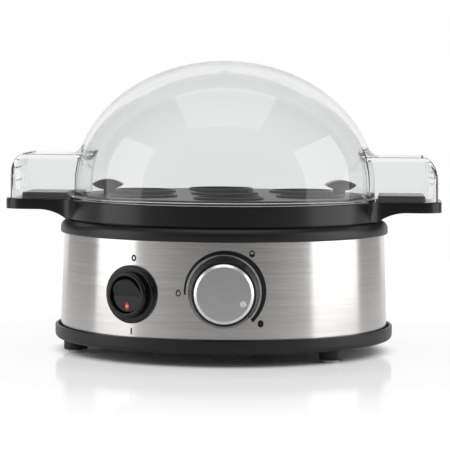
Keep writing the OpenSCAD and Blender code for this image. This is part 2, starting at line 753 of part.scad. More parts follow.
// The lamp's window lies in the rocker's lower half.
lens_x = rocker_d / 2 - 3.3;
lens_w = 2.4;
lens_l = 4;
lens_depth = 3;
lens_proud = 0.3;
module lens_shape() translate([0, 0, rocker_dip]) rotate([0, -rocker_swing / 2, 0])
  translate([lens_x, 0, -lens_depth]) linear_extrude(height = lens_depth + lens_proud) {
    for (s = [-1, 1]) translate([s * (lens_l - lens_w) / 2, 0])
      circle(d = lens_w, $fn = small_fn);
    square([lens_l - lens_w, lens_w], center = true);
  }
module rocker_lens() color([0.9, 0.2, 0.1]) rocker_frame() lens_shape();

// ---------------------------------------------------------------- mains side

gland_r = 8;
gland_t = 2.6;
gland_round = 1.2;
gland_barb = 1.1;
gland_front_r = shell_at(gland_z - gland_r) + gland_t;
gland_barb_r = shell_at(gland_z + gland_r) - sheet - ease;
gland_l = 19;
module cord_gland() color([0.08, 0.08, 0.08]) {
  difference() {
    on_axis() outward(90, gland_z) rotate_extrude() polygon(concat(
      [[cord_hole_d / 2, gland_front_r - 2 * gland_t], [gland_r, gland_front_r - 2 * gland_t]],
      arc(gland_r - gland_round, gland_front_r - gland_round, gland_round, gland_round, 0, 90, 5),
      [[cord_hole_d / 2, gland_front_r]]));
    on_axis() band_solid(shell_z, shell_top_z, -fit);
  }
  on_axis() outward(90, gland_z) rotate_extrude() polygon([
    [cord_hole_d / 2, gland_front_r - gland_l],
    [gland_neck_r - 0.8, gland_front_r - gland_l],
    [gland_neck_r + gland_barb, gland_barb_r - gland_barb],
    [gland_neck_r + gland_barb, gland_barb_r], [gland_neck_r, gland_barb_r],
    [gland_neck_r, gland_front_r - 1], [cord_hole_d / 2, gland_front_r - 1]]);
}

// A three-pole block on the floor, between the gland and the left-hand post.
block_dir = post_angle + 180;
block_set_back = 27.6;
block_r = shell_r - block_set_back;
block_d = 14;
block_w = 30;
block_h = 12;
pole_w = 9;
pole_h = 5;
pole_z = floor_z + pole_h;
pole_r = 1.6;
clamp_x = [4, block_d - 4];
module terminal_block() color([0.9, 0.89, 0.84]) on_axis() rotate([0, 0, block_dir])
  difference() {
    translate([block_r, -block_w / 2, floor_z]) cube([block_d, block_w, block_h]);
    for (i = [-1 : 1]) translate([block_r, i * pole_w, pole_z]) {
      translate([-cut, 0, 0]) rotate([0, 90, 0])
        cylinder(h = block_d + 2 * cut, r = pole_r, $fn = small_fn);
      for (x = clamp_x) translate([x, 0, 0])
        cylinder(h = block_h, r = screw_r + fit, $fn = small_fn);
    }
  }
module terminal_screws() color("silver") on_axis() rotate([0, 0, block_dir])
  for (i = [-1 : 1], x = clamp_x)
    translate([block_r + x, i * pole_w, pole_z + pole_r])
      cylinder(h = block_h - pole_h - pole_r - 0.6, r = screw_r, $fn = small_fn);

// Insulated wires: tubes swept along smooth curves through chosen points.
function polar(r, a, z) = [r * cos(a), r * sin(a), z];
function unit(v) = v / norm(v);
function spline_at(p, i, t) =
  let(a = p[max(i - 1, 0)], b = p[i], c = p[i + 1], d = p[min(i + 2, len(p) - 1)])
  0.5 * (2 * b + (c - a) * t + (2 * a - 5 * b + 4 * c - d) * t * t
         + (3 * b - a - 3 * c + d) * t * t * t);
function spline(p, n) = concat(
  [for (i = [0 : len(p) - 2], k = [0 : n - 1]) spline_at(p, i, k / n)], [p[len(p) - 1]]);
function heading(path, i) =
  i == 0 ? unit(path[1] - path[0])
  : i == len(path) - 1 ? unit(path[i] - path[i - 1])
  : unit(path[i + 1] - path[i - 1]);
// Sideways directions carried along the path without twist.
function sideways(path, i, last) =
  i == len(path) ? []
  : let(t = heading(path, i), s = unit(last - (last * t) * t))
    concat([s], sideways(path, i + 1, s));

lead_sides = 8;
lead_gap = 0.1;
// Adds a point near each end, so that the wire leaves its terminal straight.
function with_stubs(p) = let(n = len(p) - 1) concat(
  [p[0], 0.6 * p[0] + 0.4 * p[1]], [for (i = [1 : n - 1]) p[i]],
  [0.6 * p[n] + 0.4 * p[n - 1], p[n]]);
module lead(points, side) {
  path = spline(with_stubs(points), 3);
  across = sideways(path, 0, side);
  n = len(path);
  polyhedron(
    points = [for (i = [0 : n - 1], k = [0 : lead_sides - 1])
      let(a = 360 * k / lead_sides, up = cross(heading(path, i), across[i]))
      path[i] + lead_r * (cos(a) * across[i] + sin(a) * up)],
    faces = concat(
      [[for (k = [0 : lead_sides - 1]) k]],
      [for (i = [0 : n - 2], k = [0 : lead_sides - 1])
        let(m = (k + 1) % lead_sides, b = i * lead_sides, c = b + lead_sides)
        [b + k, c + k, c + m, b + m]],
      [[for (k = [lead_sides - 1 : -1 : 0]) (n - 1) * lead_sides + k]]));
}

// Places that the leads run between; back and down count from a tab's tip.
lane_z = floor_z + lead_r + 0.5;
function pole(i, r) = polar(r, block_dir, pole_z)
  + i * pole_w * [-sin(block_dir), cos(block_dir), 0];
function switch_tab(s, back) =
  polar(switch_back_r - tab_l - lead_gap - back, switch_dir, switch_z - s * switch_tab_x);
function regulator_tab(s, back) =
  [s * regulator_tab_y, -(regulator_back_r - tab_l - lead_gap - back), control_z];
function thermostat_tab(s, down) =
  [s * thermostat_tab_x, 0, thermostat_under_z - tab_l - lead_gap - down];
function fuse_end(s, out) =
  [s * (fuse_l / 2 + fuse_lead_l + lead_gap + out), fuse_y, fuse_z];
function element_tab(s, down) = polar(element_ring_r, s * element_leg_angle,
  element_z - element_leg - element_pin - tab_l - lead_gap - down);
earth_tail_dir = 205;
earth_tag_l = 7.5;
earth_tag_w = 4;
earth_tail = earth_at + (earth_tag_l - 2) * [cos(earth_tail_dir), sin(earth_tail_dir)];

// A waypoint: shares of the element's ring radius, and of the way up from the
// lane on the floor to the controls.
function via(out, dir, up) = polar(out * element_ring_r, dir, lane_z + up * (control_z - lane_z));

module live_lead() color([0.45, 0.25, 0.12]) on_axis() lead([
  pole(1, block_r + 2), pole(1, block_r - 5), via(1.12, 138, 0.04), via(1.1, 160, 0),
  via(1.1, 185, 0), via(1.1, 208, 0.04), via(1.08, 228, 0.36), switch_tab(1, 6),
  switch_tab(1, 0)], [0, 0, 1]);
module switched_lead() color([0.1, 0.1, 0.1]) on_axis() lead([
  switch_tab(-1, 0), switch_tab(-1, 5), via(1.16, -119, 0.78), via(1.1, -107, 0.67),
  regulator_tab(-1, 7), regulator_tab(-1, 0)], [0, 0, 1]);
module thermostat_lead() color([0.1, 0.1, 0.1]) on_axis() lead([
  regulator_tab(1, 0), regulator_tab(1, 6), via(0.81, -79.4, 0.78), via(0.42, -72.6, 0.46),
  thermostat_tab(1, 7) - [0, 4, 0], thermostat_tab(1, 4), thermostat_tab(1, 0)], [1, 0, 0]);
module fuse_lead() color([0.1, 0.1, 0.1]) on_axis() lead([
  thermostat_tab(-1, 0), thermostat_tab(-1, 5), via(0.27, 146, 0.46), via(0.6, 142, 0.71),
  via(0.8, 139, 1), fuse_end(-1, 6) - [0, 0, 1], fuse_end(-1, 0)], [1, 0, 0]);
module element_lead() color([0.1, 0.1, 0.1]) on_axis() lead([
  fuse_end(1, 0), fuse_end(1, 6) - [0, 0, 1], via(0.85, 45, 1), via(0.92, 42.8, 0.56),
  via(0.95, 35.4, 0.22), element_tab(1, 5), element_tab(1, 0)], [0, 1, 0]);
module neutral_lead() color([0.15, 0.3, 0.6]) on_axis() lead([
  element_tab(-1, 0), element_tab(-1, 5), via(1.05, -6, 0), via(1.12, 20, 0),
  via(1.12, 50, 0), via(1.1, 80, 0), pole(-1, block_r - 6), pole(-1, block_r - 2),
  pole(-1, block_r + 2)], [0, 1, 0]);
module earth_lead() color([0.3, 0.6, 0.2]) on_axis() {
  lead([pole(0, block_r + 2), pole(0, block_r - 3), pole(0, block_r - 7),
    via(1, 132, 0.29), via(0.9, 155, 0.58), via(0.8, 180, 0.85), via(0.82, 203, 1.07),
    concat(earth_tail, plate_z - clamp_t - 4),
    concat(earth_tail, plate_z - clamp_t / 2)], [0, 0, 1]);
  translate([earth_at[0], earth_at[1], plate_z - clamp_t]) difference() {
    union() {
      cylinder(h = clamp_t, r = washer_r, $fn = small_fn);
      rotate([0, 0, earth_tail_dir]) translate([0, -earth_tag_w / 2, 0])
        cube([earth_tag_l, earth_tag_w, clamp_t]);
    }
    translate([0, 0, -cut]) cylinder(h = clamp_t + 2 * cut, r = screw_r + fit, $fn = small_fn);
  }
}

// ---------------------------------------------------------------- steam tray

// Outline of an ear seen from above, from the axis out: a strip with two
// rounded corners.
module ear_outline(reach, width, corner) {
  translate([0, -width / 2]) square([reach - corner, width]);
  translate([0, -width / 2 + corner]) square([reach, width - 2 * corner]);
  for (s = [-1, 1]) translate([reach - corner, s * (width / 2 - corner)])
    circle(r = corner);
}
// Copies its children to the right and to the left.
module both_ears() for (a = [0, 180]) rotate([0, 0, a]) children();

// Extrudes a side-view outline (x out, y up) across the ears' width.
module across_ear() rotate([90, 0, 0])
  linear_extrude(height = 2 * ear_w, center = true) children();

contact_in = 0.9;      // from the rim's flat top to where the tray bears on it
wall_offset = 0.8;     // from the tray's wall to the inside of its bearing foot
contact_out_r = rim_r - rim_round - contact_in;
wall_in_r = tray_r - tray_wall - wall_offset;
collar_out_r = rim_open_r - slack;
collar_in_r = collar_out_r - tray_wall;
collar_z = flange_top_z + 0.5;
deck_under_z = deck_z - tray_wall;
tray_profile = [
  [tray_open_r, deck_under_z], [collar_in_r, deck_under_z],
  [collar_in_r, collar_z], [collar_out_r, collar_z],
  [collar_out_r, deck_under_z], [wall_in_r, deck_under_z],
  [wall_in_r, tray_z], [contact_out_r, tray_z],
  [contact_out_r, rim_top_z + tray_line], [tray_r, rim_top_z + tray_line],
  [tray_r, deck_z - edge], [tray_r - edge, deck_z], [tray_open_r, deck_z]];
flare_out = 13;        // from the tray's wall to the end of an ear's hollow curve
flare_x = tray_r + flare_out;

// The ear's side view: flat outside, with a hollow curve down to the wall.
ear_root = 1.4;        // how far an ear starts inside the tray's wall
ear_hollow_in = 0.5;   // and its underside's hollow
ear_in_r = tray_r - ear_root;
ear_hollow_r = tray_r - ear_hollow_in;
ear_root_x = ear_in_r * cos(asin(ear_w / 2 / ear_in_r)) - 1;
ear_low_z = rim_top_z + tray_line + 0.1;
flare_z = deck_z - ear_t - flare_r;
flare_start = asin((ear_low_z - flare_z) / flare_r);
ear_side = concat(
  [[ear_root_x, deck_z], [ear_root_x, ear_low_z]],
  arc(flare_x, flare_z, flare_r, flare_r, 180 - flare_start, 90, 10),
  [[2 * ear_reach, deck_z - ear_t], [2 * ear_reach, deck_z]]);
pad_set_in = 8.2;      // from an ear's end to its raised pad
pad_reach = ear_reach - pad_set_in;
pad_ease = 1.5;        // beside the pad in the lid's hollow ear
pad_w = lid_ear_w - 2 * lid_ear_wall - 2 * pad_ease;
pad_corner = 4;
module steam_tray() color([0.1, 0.1, 0.1]) turned(tray_turn) {
  rotate_extrude() polygon(tray_profile);
  both_ears() {
    difference() {
      intersection() {
        translate([0, 0, rim_top_z]) linear_extrude(height = deck_z - rim_top_z)
          ear_outline(ear_reach, ear_w, ear_corner);
        across_ear() polygon(ear_side);
      }
      cylinder(h = 2 * deck_z, r = ear_in_r);
      difference() {
        translate([0, 0, rim_top_z - cut]) linear_extrude(height = deck_under_z - rim_top_z + cut)
          ear_outline(ear_reach - tray_wall, ear_w - 2 * tray_wall, ear_corner - tray_wall);
        cylinder(h = 2 * deck_z, r = ear_hollow_r);
      }
    }
    difference() {
      translate([0, 0, deck_z - tray_wall / 2])
        linear_extrude(height = tray_wall / 2 + ear_pad_h)
          ear_outline(pad_reach, pad_w, pad_corner);
      cylinder(h = 2 * deck_z, r = tray_r + slack);
    }
  }
}

// ---------------------------------------------------------------- egg rack

module at_egg_holes() {
  children();
  for (k = [0 : 5]) rotate([0, 0, 30 + 60 * k]) translate([hole_ring_r, 0, 0]) children();
}
collar_w = 1.5;
leaf_l = 16;
leaf_w = 13;
leaf_h = 5.2;
stem_t = 4;
module egg_rack() color([0.08, 0.08, 0.08]) turned(rack_turn) {
  difference() {
    union() {
      translate([0, 0, rack_z]) cylinder(h = rack_t, r = rack_r);
      at_egg_holes() translate([0, 0, rack_z])
        cylinder(h = rack_t + collar_rise, d = hole_d + 2 * collar_w);
    }
    at_egg_holes() translate([0, 0, rack_z - cut])
      cylinder(h = rack_t + collar_rise + 2 * cut, d = hole_d);
  }
  both_ears() finger_tab();
}

// A leaf-shaped finger tab that stands out from the plate on a narrow stem.
leaf_mid_z = rack_z + rack_t + tab_rise - leaf_h / 2;
module finger_tab() {
  intersection() {
    translate([0, 0, leaf_mid_z]) rotate([90, 0, 0])
      linear_extrude(height = leaf_w, center = true)
        leaf(tab_reach - leaf_l, tab_reach, leaf_h);
    translate([tab_reach - leaf_w / 2, 0, 0]) {
      cylinder(h = 2 * deck_z, d = leaf_w);
      translate([-leaf_l, -leaf_w / 2, 0]) cube([leaf_l, leaf_w, 2 * deck_z]);
    }
  }
  translate([tab_reach - (leaf_l + stem_t) / 2, -leaf_w / 4, rack_z + rack_t / 2])
    cube([stem_t, leaf_w / 2, leaf_mid_z - rack_z - rack_t / 2]);
}
// A leaf shape between two points on the x axis, of a given thickness.
module leaf(x0, x1, h) {
  half = (x1 - x0) / 2;
  r = (half * half + h * h / 4) / h;
  translate([(x0 + x1) / 2, 0]) intersection() {
    translate([0, h / 2 - r]) circle(r = r);
    translate([0, r - h / 2]) circle(r = r);
  }
}

// ---------------------------------------------------------------- lid

dome_steps = 24;
dome_profile = concat(
  [[dome_in_r, lid_z], [lid_r, lid_z], [lid_r, lid_z + flange_t - edge],
   [lid_r - edge, lid_z + flange_t], [dome_r, lid_z + flange_t]],
  arc(0, dome_z, dome_r, dome_h, 0, 90, dome_steps),
  arc(0, dome_z, dome_in_r, dome_h - crown_t, 90, 0, dome_steps));

// What the ears are cut back by: a body just inside the dome's outer face.
ear_bite = 0.5;
dome_core_profile = concat(
  [[0, lid_z - cut], [dome_r - ear_bite, lid_z - cut]],
  arc(0, dome_z, dome_r - ear_bite, dome_h - ear_bite, 0, 90, dome_steps));

// A lid ear's solid: its plan and its side view crossed, both drawn in by a wall.
lid_ear_top_z = lid_z + lid_ear_h;
module lid_ear_solid(wall, z0) intersection() {
  translate([0, 0, z0]) linear_extrude(height = dome_h)
    ear_outline(lid_ear_reach - wall, lid_ear_w - 2 * wall, ear_corner - wall);
  across_ear() polygon(concat(
    [[0, lid_ear_top_z - wall], [0, z0], [lid_ear_reach - wall, z0]],
    arc(lid_ear_reach - lid_nose_l, lid_ear_top_z - lid_nose_h,
        lid_nose_l - wall, lid_nose_h - wall, 0, 90, 12)));
}
module lid() color([0.85, 0.88, 0.9, 0.35]) turned(tray_turn) difference() {
  union() {
    rotate_extrude() polygon(dome_profile);
    both_ears() difference() {
      lid_ear_solid(0, lid_z);
      lid_ear_solid(lid_ear_wall, lid_z - cut);
      rotate_extrude() polygon(dome_core_profile);
    }
  }
  translate([0, 0, dome_top_z - 2 * crown_t])
    cylinder(h = 3 * crown_t, d = vent_d, $fn = small_fn);
}

bottom_cover();
foot_pads();
case_screws();
steel_shell();
upper_rim();
heating_bowl();
bowl_seal();
bowl_brackets();
bracket_screws();
heat_spreader();
heating_element();
element_terminals();
boil_dry_thermostat();
thermostat_bracket();
thermal_fuse();
fuse_clamp();
heater_screws();
regulator_body();
regulator_bracket();
regulator_nut();
regulator_terminals();
regulator_shaft();
knob_body();
knob_cap();
knob_spring_clip();
switch_collar();
switch_body();
switch_terminals();
rocker();
rocker_lens();
cord_gland();
terminal_block();
terminal_screws();
live_lead();
switched_lead();
thermostat_lead();
fuse_lead();
element_lead();
neutral_lead();
earth_lead();
steam_tray();
egg_rack();
lid();
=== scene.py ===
"""Looks of the egg cooker: smooth mouldings, steel, clear lid, prints, studio and camera.

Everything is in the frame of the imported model: the knob looks towards -Y and +Z is up.
Sizes and places are in millimetres, and the modelling functions turn them into metres.
"""
import math

import bmesh
import bpy
from mathutils import Matrix, Vector


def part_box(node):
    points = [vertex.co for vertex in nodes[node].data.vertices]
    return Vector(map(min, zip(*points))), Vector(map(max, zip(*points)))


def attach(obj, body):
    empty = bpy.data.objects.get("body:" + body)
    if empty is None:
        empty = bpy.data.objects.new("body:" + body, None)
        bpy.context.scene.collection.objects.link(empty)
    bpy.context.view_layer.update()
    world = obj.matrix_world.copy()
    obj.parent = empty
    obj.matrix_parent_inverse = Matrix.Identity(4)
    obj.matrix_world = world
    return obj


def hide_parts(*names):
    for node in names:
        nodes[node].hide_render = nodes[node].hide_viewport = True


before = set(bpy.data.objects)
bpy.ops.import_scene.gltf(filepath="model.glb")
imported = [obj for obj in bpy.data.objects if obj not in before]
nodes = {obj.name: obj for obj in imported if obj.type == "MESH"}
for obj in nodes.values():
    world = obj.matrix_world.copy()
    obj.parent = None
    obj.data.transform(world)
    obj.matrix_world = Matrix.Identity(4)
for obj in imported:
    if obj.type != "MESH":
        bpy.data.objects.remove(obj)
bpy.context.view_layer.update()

MM = 0.001


# ------------------------------------------------------------------ places from the frame, in mm

def low(node):
    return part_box(node)[0] / MM


def high(node):
    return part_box(node)[1] / MM


def radius_of(node):
    return (high(node).x - low(node).x) / 2


def mid_height(node):
    return (low(node).z + high(node).z) / 2


AXIS_Y = (low("upper_rim").y + high("upper_rim").y) / 2
SHELL_LOW, SHELL_TOP = low("steel_shell").z, high("steel_shell").z
SHELL_R = radius_of("steel_shell")
SHELL_TAPER = 1.9
SHEET = 0.6
CONTROL_Z, SWITCH_Z, GLAND_Z = map(mid_height, ("knob_cap", "switch_collar", "cord_gland"))
SWITCH_DIR = -122.8
TRAY_TURN, RACK_TURN = -4.4, 2.3
FOOT_RING_R, FOOT_ANGLE = 76, -46.6
POST_RING_R, POST_ANGLE = 73.5, -60
BOSS_H, FLOOR_T, LIP_DEPTH, RIM_GROOVE = 14, 2.2, 2.6, 2
BOSS_TOP = high("bottom_cover").z
FLOOR_TOP = BOSS_TOP - BOSS_H
COVER_LOW, COVER_TOP = FLOOR_TOP - FLOOR_T, SHELL_LOW + LIP_DEPTH
RIM_LOW, RIM_TOP = SHELL_TOP - RIM_GROOVE, high("upper_rim").z
REST_GAP = 0.03


def shell_at(z):
    """Radius of the steel band's outer face at height z."""
    return SHELL_R - SHELL_TAPER * (z - SHELL_LOW) / (SHELL_TOP - SHELL_LOW)


def on_axis(turn=0):
    """Puts what is made about the Z axis onto the cooker's axis."""
    return moved(0, AXIS_Y, 0) @ turn_about("Z", turn)


def outward(direction, z):
    """Turns local +Z outwards along a radius; local +X then runs down."""
    return on_axis() @ moved(0, 0, z) @ turn_about("Z", direction) @ turn_about("Y", 90)


def moved(x, y, z):
    return Matrix.Translation((x * MM, y * MM, z * MM))


def turn_about(axis, degrees):
    return Matrix.Rotation(math.radians(degrees), 4, axis)


def ring_of_three(radius, first):
    return [on_axis(first + 120 * k) @ moved(radius, 0, 0) for k in range(3)]


ALONG_Y = turn_about("X", 90)
KNOB_FRONT = AXIS_Y - low("knob_cap").y
KNOB_BACK = AXIS_Y - high("knob_body").y
CAP_R, CAP_EDGE = 14.1, 1.35
AT_KNOB = outward(-90, CONTROL_Z)
DIMPLE_R, DIMPLE_OUT, DIMPLE_ANGLE = 1.5, 10, math.radians(25.7)
DIMPLE = AT_KNOB @ Vector((DIMPLE_OUT * MM * math.sin(DIMPLE_ANGLE),
                           DIMPLE_OUT * MM * math.cos(DIMPLE_ANGLE), 0))
AT_SWITCH = outward(SWITCH_DIR, SWITCH_Z)
COLLAR_H, BEZEL_H = 1.9, 3.2
COLLAR_FRONT = shell_at(SWITCH_Z) + COLLAR_H
BEZEL_FRONT = COLLAR_FRONT + BEZEL_H
PIVOT = BEZEL_FRONT - BEZEL_H
SWING, ROCKER_H, LAMP_OUT = 22, 1.6, 5.2
ROCKER_TILT = AT_SWITCH @ moved(0, 0, PIVOT) @ turn_about("Y", SWING / 2)
ROCKER_FACE = moved(0, 0, ROCKER_H) @ turn_about("Y", -SWING / 2)
LAMP = ROCKER_TILT @ ROCKER_FACE @ moved(LAMP_OUT, 0, 0)


# ------------------------------------------------------------------ shader maths

def grey(level, warm=0.0):
    return (level * (1 + warm), level, level * (1 - warm), 1)


class Socket:
    """A value or colour in a material; expressions on it add the nodes that work it out."""

    def __init__(self, paint, link):
        self.paint, self.link = paint, link

    def _math(self, operation, *values):
        return self.paint.add("ShaderNodeMath", {"operation": operation}, *values)

    def __add__(self, other):
        return self._math("ADD", self, other)

    def __radd__(self, other):
        return self._math("ADD", self, other)

    def __sub__(self, other):
        return self._math("SUBTRACT", self, other)

    def __rsub__(self, other):
        return self._math("SUBTRACT", other, self)

    def __mul__(self, other):
        return self._math("MULTIPLY", self, other)

    def __rmul__(self, other):
        return self._math("MULTIPLY", self, other)

    def __gt__(self, other):
        return self._math("GREATER_THAN", self, other)

    def __lt__(self, other):
        return self._math("LESS_THAN", self, other)

    def clamp(self):
        return self.paint.add("ShaderNodeClamp", {}, self)


def enabled(sockets, name):
    """The socket of that name that the node's settings leave in use."""
    return next(s for s in sockets if s.enabled and s.name == name.replace("_", " "))


class Nodes:
    """A node tree while it is being made."""

    def __init__(self, tree):
        self.tree = tree

    def add(self, kind, settings, *values, output=None, **named):
        """Adds a node, sets it up, fills its sockets in order or by name, and gives an output."""
        node = self.tree.nodes.new(kind)
        for key, value in settings.items():
            if key == "stops":
                self._ramp(node.color_ramp, value)
            else:
                setattr(node, key, value)
        for place, value in enumerate(values):
            self._fill(node.inputs[place], value)
        for name, value in named.items():
            self._fill(enabled(node.inputs, name), value)
        if node.outputs:
            return Socket(self, enabled(node.outputs, output) if output else node.outputs[0])

    def _ramp(self, ramp, stops):
        while len(ramp.elements) < len(stops):
            ramp.elements.new(0.5)
        for element, (place, colour) in zip(ramp.elements, stops):
            element.position, element.color = place, colour

    def _fill(self, socket, value):
        if isinstance(value, Socket):
            self.tree.links.new(value.link, socket)
        else:
            socket.default_value = value


class Paint(Nodes):
    """A material while its nodes are being made."""

    def __init__(self, name, **principled):
        self.material = bpy.data.materials.new(name)
        self.material.use_nodes = True
        super().__init__(self.material.node_tree)
        self.shader = self.tree.nodes["Principled BSDF"]
        self.output = self.tree.nodes["Material Output"]
        self.set(**principled)
        self.where = self.add("ShaderNodeTexCoord", {}, output="Object")

    def stretched(self, x, y, z, middle=(0, 0, 0)):
        """Object coordinates about a middle, stretched along each axis."""
        centred = self.add("ShaderNodeMapping", {"vector_type": "TEXTURE"}, self.where,
                           Location=middle)
        return self.add("ShaderNodeMapping", {"vector_type": "POINT"}, centred, Scale=(x, y, z))

    def noise(self, scale, detail, rough=0.5):
        """Noise at one scale or at one for each axis."""
        if not isinstance(scale, tuple):
            scale = (scale, scale, scale)
        return self.noise_on(self.stretched(*scale), detail, rough)

    def noise_on(self, vector, detail, rough=0.5):
        return self.add("ShaderNodeTexNoise", {}, Vector=vector, Scale=1.0, Detail=detail,
                        Roughness=rough)

    def length(self, vector):
        return self.add("ShaderNodeVectorMath", {"operation": "LENGTH"}, vector, output="Value")

    def eased(self, value, start, end):
        """0 before the start, 1 after the end and a soft step between them."""
        return self.add("ShaderNodeMapRange", {"interpolation_type": "SMOOTHSTEP"}, value,
                        start, end)

    def mix(self, share, a, b):
        """A colour between a and b."""
        return self.add("ShaderNodeMix", {"data_type": "RGBA"}, Factor=share, A=a, B=b,
                        output="Result")

    def bump(self, height, distance, strength=1.0):
        self.set(Normal=self.add("ShaderNodeBump", {}, Height=height, Distance=distance,
                                 Strength=strength))

    def set(self, **named):
        for name, value in named.items():
            self._fill(enabled(self.shader.inputs, name), value)

    def show(self, shader):
        """Sends a shader to the output in place of the material's main one."""
        self._fill(self.output.inputs[0], shader)


# ------------------------------------------------------------------ modelling

def clear_selection():
    """Leaves edit mode and deselects everything."""
    if bpy.context.object and bpy.context.object.mode != "OBJECT":
        bpy.ops.object.mode_set(mode="OBJECT")
    bpy.ops.object.select_all(action="DESELECT")


def focus(piece):
    """Makes a piece the only selected and active object."""
    clear_selection()
    piece.select_set(True)
    bpy.context.view_layer.objects.active = piece


def edit(name):
    """Names the primitive just added and opens it for editing."""
    piece = bpy.context.object
    piece.name = piece.data.name = name
    bpy.ops.object.mode_set(mode="EDIT")
    bpy.ops.mesh.select_mode(type="VERT")
    return piece


def pick(kind, test):
    """Selects what passes a test on its middle, in metres, in the mesh being edited."""
    bpy.ops.mesh.select_mode(type=kind)
    bpy.ops.mesh.select_all(action="DESELECT")
    data = bpy.context.edit_object.data
    place = bpy.context.edit_object.matrix_world
    mesh = bmesh.from_edit_mesh(data)
    for item in {"VERT": mesh.verts, "EDGE": mesh.edges, "FACE": mesh.faces}[kind]:
        corners = [item] if kind == "VERT" else item.verts
        middle = place @ (sum((c.co for c in corners), Vector()) / len(corners))
        if test(middle, item):
            item.select_set(True)
    bmesh.update_edit_mesh(data)


def close_up(piece, weld=0.00001):
    """Merges doubles, turns the faces outwards and leaves edit mode."""
    if piece.mode != "EDIT":
        focus(piece)
        bpy.ops.object.mode_set(mode="EDIT")
    bpy.ops.mesh.select_all(action="SELECT")
    bpy.ops.mesh.remove_doubles(threshold=weld)
    bpy.ops.mesh.normals_make_consistent(inside=False)
    bpy.ops.object.mode_set(mode="OBJECT")
    return piece


def settle(piece, place=None):
    """Moves a piece to its place and applies that, so that its object stays at the origin."""
    focus(piece)
    if place is not None:
        piece.matrix_world = place @ piece.matrix_world
    bpy.ops.object.transform_apply(location=True, rotation=True, scale=True)
    return piece


def modify(piece, kind, **settings):
    """Adds a modifier, sets it up and applies it."""
    focus(piece)
    modifier = piece.modifiers.new(kind.title(), kind)
    for key, value in settings.items():
        setattr(modifier, key, value)
    bpy.ops.object.modifier_apply(modifier=modifier.name)
    return piece


def combine(piece, other, operation):
    """Unites a piece with another or cuts the other out of it; the other is used up."""
    modify(piece, "BOOLEAN", object=other, operation=operation, solver="MANIFOLD")
    bpy.data.objects.remove(other)
    return piece


def smooth(piece, angle):
    """Smooth shading with true edges, weighted so that flat faces stay flat."""
    focus(piece)
    bpy.ops.object.shade_smooth_by_angle(angle=math.radians(angle))
    return modify(piece, "WEIGHTED_NORMAL", keep_sharp=True, weight=80)


def rounded(corners, steps=5, loop=True):
    """An outline through (radius, height, rounding) corners in mm, with arcs as roundings."""
    made = []
    count = len(corners)
    for i, (x, z, fillet) in enumerate(corners):
        here = Vector((x, z))
        if not fillet or (not loop and i in (0, count - 1)):
            made.append((x, z))
            continue
        to_last = (Vector(corners[i - 1][:2]) - here).normalized()
        to_next = (Vector(corners[(i + 1) % count][:2]) - here).normalized()
        half = to_last.angle(to_next) / 2
        middle = here + (to_last + to_next).normalized() * fillet / math.sin(half)
        start = here + to_last * fillet / math.tan(half) - middle
        sweep = start.angle_signed(here + to_next * fillet / math.tan(half) - middle)
        for k in range(steps + 1):
            turned_by = start.copy()
            turned_by.rotate(Matrix.Rotation(-sweep * k / steps, 2))
            made.append(tuple(middle + turned_by))
    return made


def turned(name, outline, sides=160, loop=True, place=None):
    """A round piece: a circle extruded and resized along an outline of (radius, height).

    An outline that loops is bridged back to its start, and another has its two ends filled.
    """
    clear_selection()
    first_r, first_z = outline[0]
    bpy.ops.mesh.primitive_circle_add(vertices=sides, radius=first_r * MM,
                                      location=(0, 0, first_z * MM), fill_type="NOTHING")
    piece = edit(name)
    for (r0, z0), (r1, z1) in zip(outline, outline[1:]):
        bpy.ops.mesh.extrude_region_move(
            TRANSFORM_OT_translate={"value": (0, 0, (z1 - z0) * MM)})
        bpy.ops.transform.resize(value=(r1 / r0, r1 / r0, 1), center_override=(0, 0, z1 * MM))
    bpy.ops.mesh.select_all(action="DESELECT")
    bpy.ops.mesh.select_non_manifold(use_wire=False, use_multi_face=False,
                                     use_non_contiguous=False, use_verts=False)
    if loop:
        bpy.ops.mesh.bridge_edge_loops()
    else:
        bpy.ops.mesh.edge_face_add()
    close_up(piece)
    return settle(piece, place or on_axis())


def finish_piece(piece, slot, body, *replaced, finish=None, angle=32):
    """Shades a piece, gives it its finish and fixes it to its body."""
    smooth(piece, angle)
    piece.data.materials.clear()
    piece.data.materials.append(FINISH[finish or slot])
    if replaced:
        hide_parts(*replaced)
    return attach(piece, body)


def polar_mm(r, degrees, z=0):
    return r * math.cos(math.radians(degrees)), r * math.sin(math.radians(degrees)), z


def arc(middle_r, middle_z, r, h, start, end, steps):
    """Points of an elliptic arc in an outline, from one angle to another."""
    turns = [math.radians(start + (end - start) * k / steps) for k in range(steps + 1)]
    return [(middle_r + r * math.cos(t), middle_z + h * math.sin(t)) for t in turns]


def block(name, x0, x1, half_y, z0, z1):
    """A box between two x and two z, the same to either side of y = 0."""
    clear_selection()
    bpy.ops.mesh.primitive_cube_add(size=1, location=((x0 + x1) / 2 * MM, 0, (z0 + z1) / 2 * MM))
    edit(name)
    bpy.ops.transform.resize(value=((x1 - x0) * MM, 2 * half_y * MM, (z1 - z0) * MM))
    bpy.ops.object.mode_set(mode="OBJECT")
    return settle(bpy.context.object)


def plug(name, outline, sides, place=None):
    """A round solid about the Z axis, closed at both ends."""
    return turned(name, outline, sides, loop=False, place=place or Matrix())


def rod(name, r, z0, z1, sides=96, place=None):
    """A plain round cutter along Z."""
    return plug(name, [(r, z0), (r, z1)], sides, place)


def bevel_edges(piece, test, width, steps):
    """Rounds the edges whose middles pass a test in mm."""
    focus(piece)
    bpy.ops.object.mode_set(mode="EDIT")
    pick("EDGE", lambda middle, edge: test(middle / MM, edge))
    bpy.ops.mesh.bevel(offset=width * MM, segments=steps, affect="EDGES")
    bpy.ops.object.mode_set(mode="OBJECT")
    return piece


def upright(edge):
    """Whether an edge runs up, or nearly so."""
    a, b = (v.co for v in edge.verts)
    return abs(a.z - b.z) > 0.9 * (a - b).length


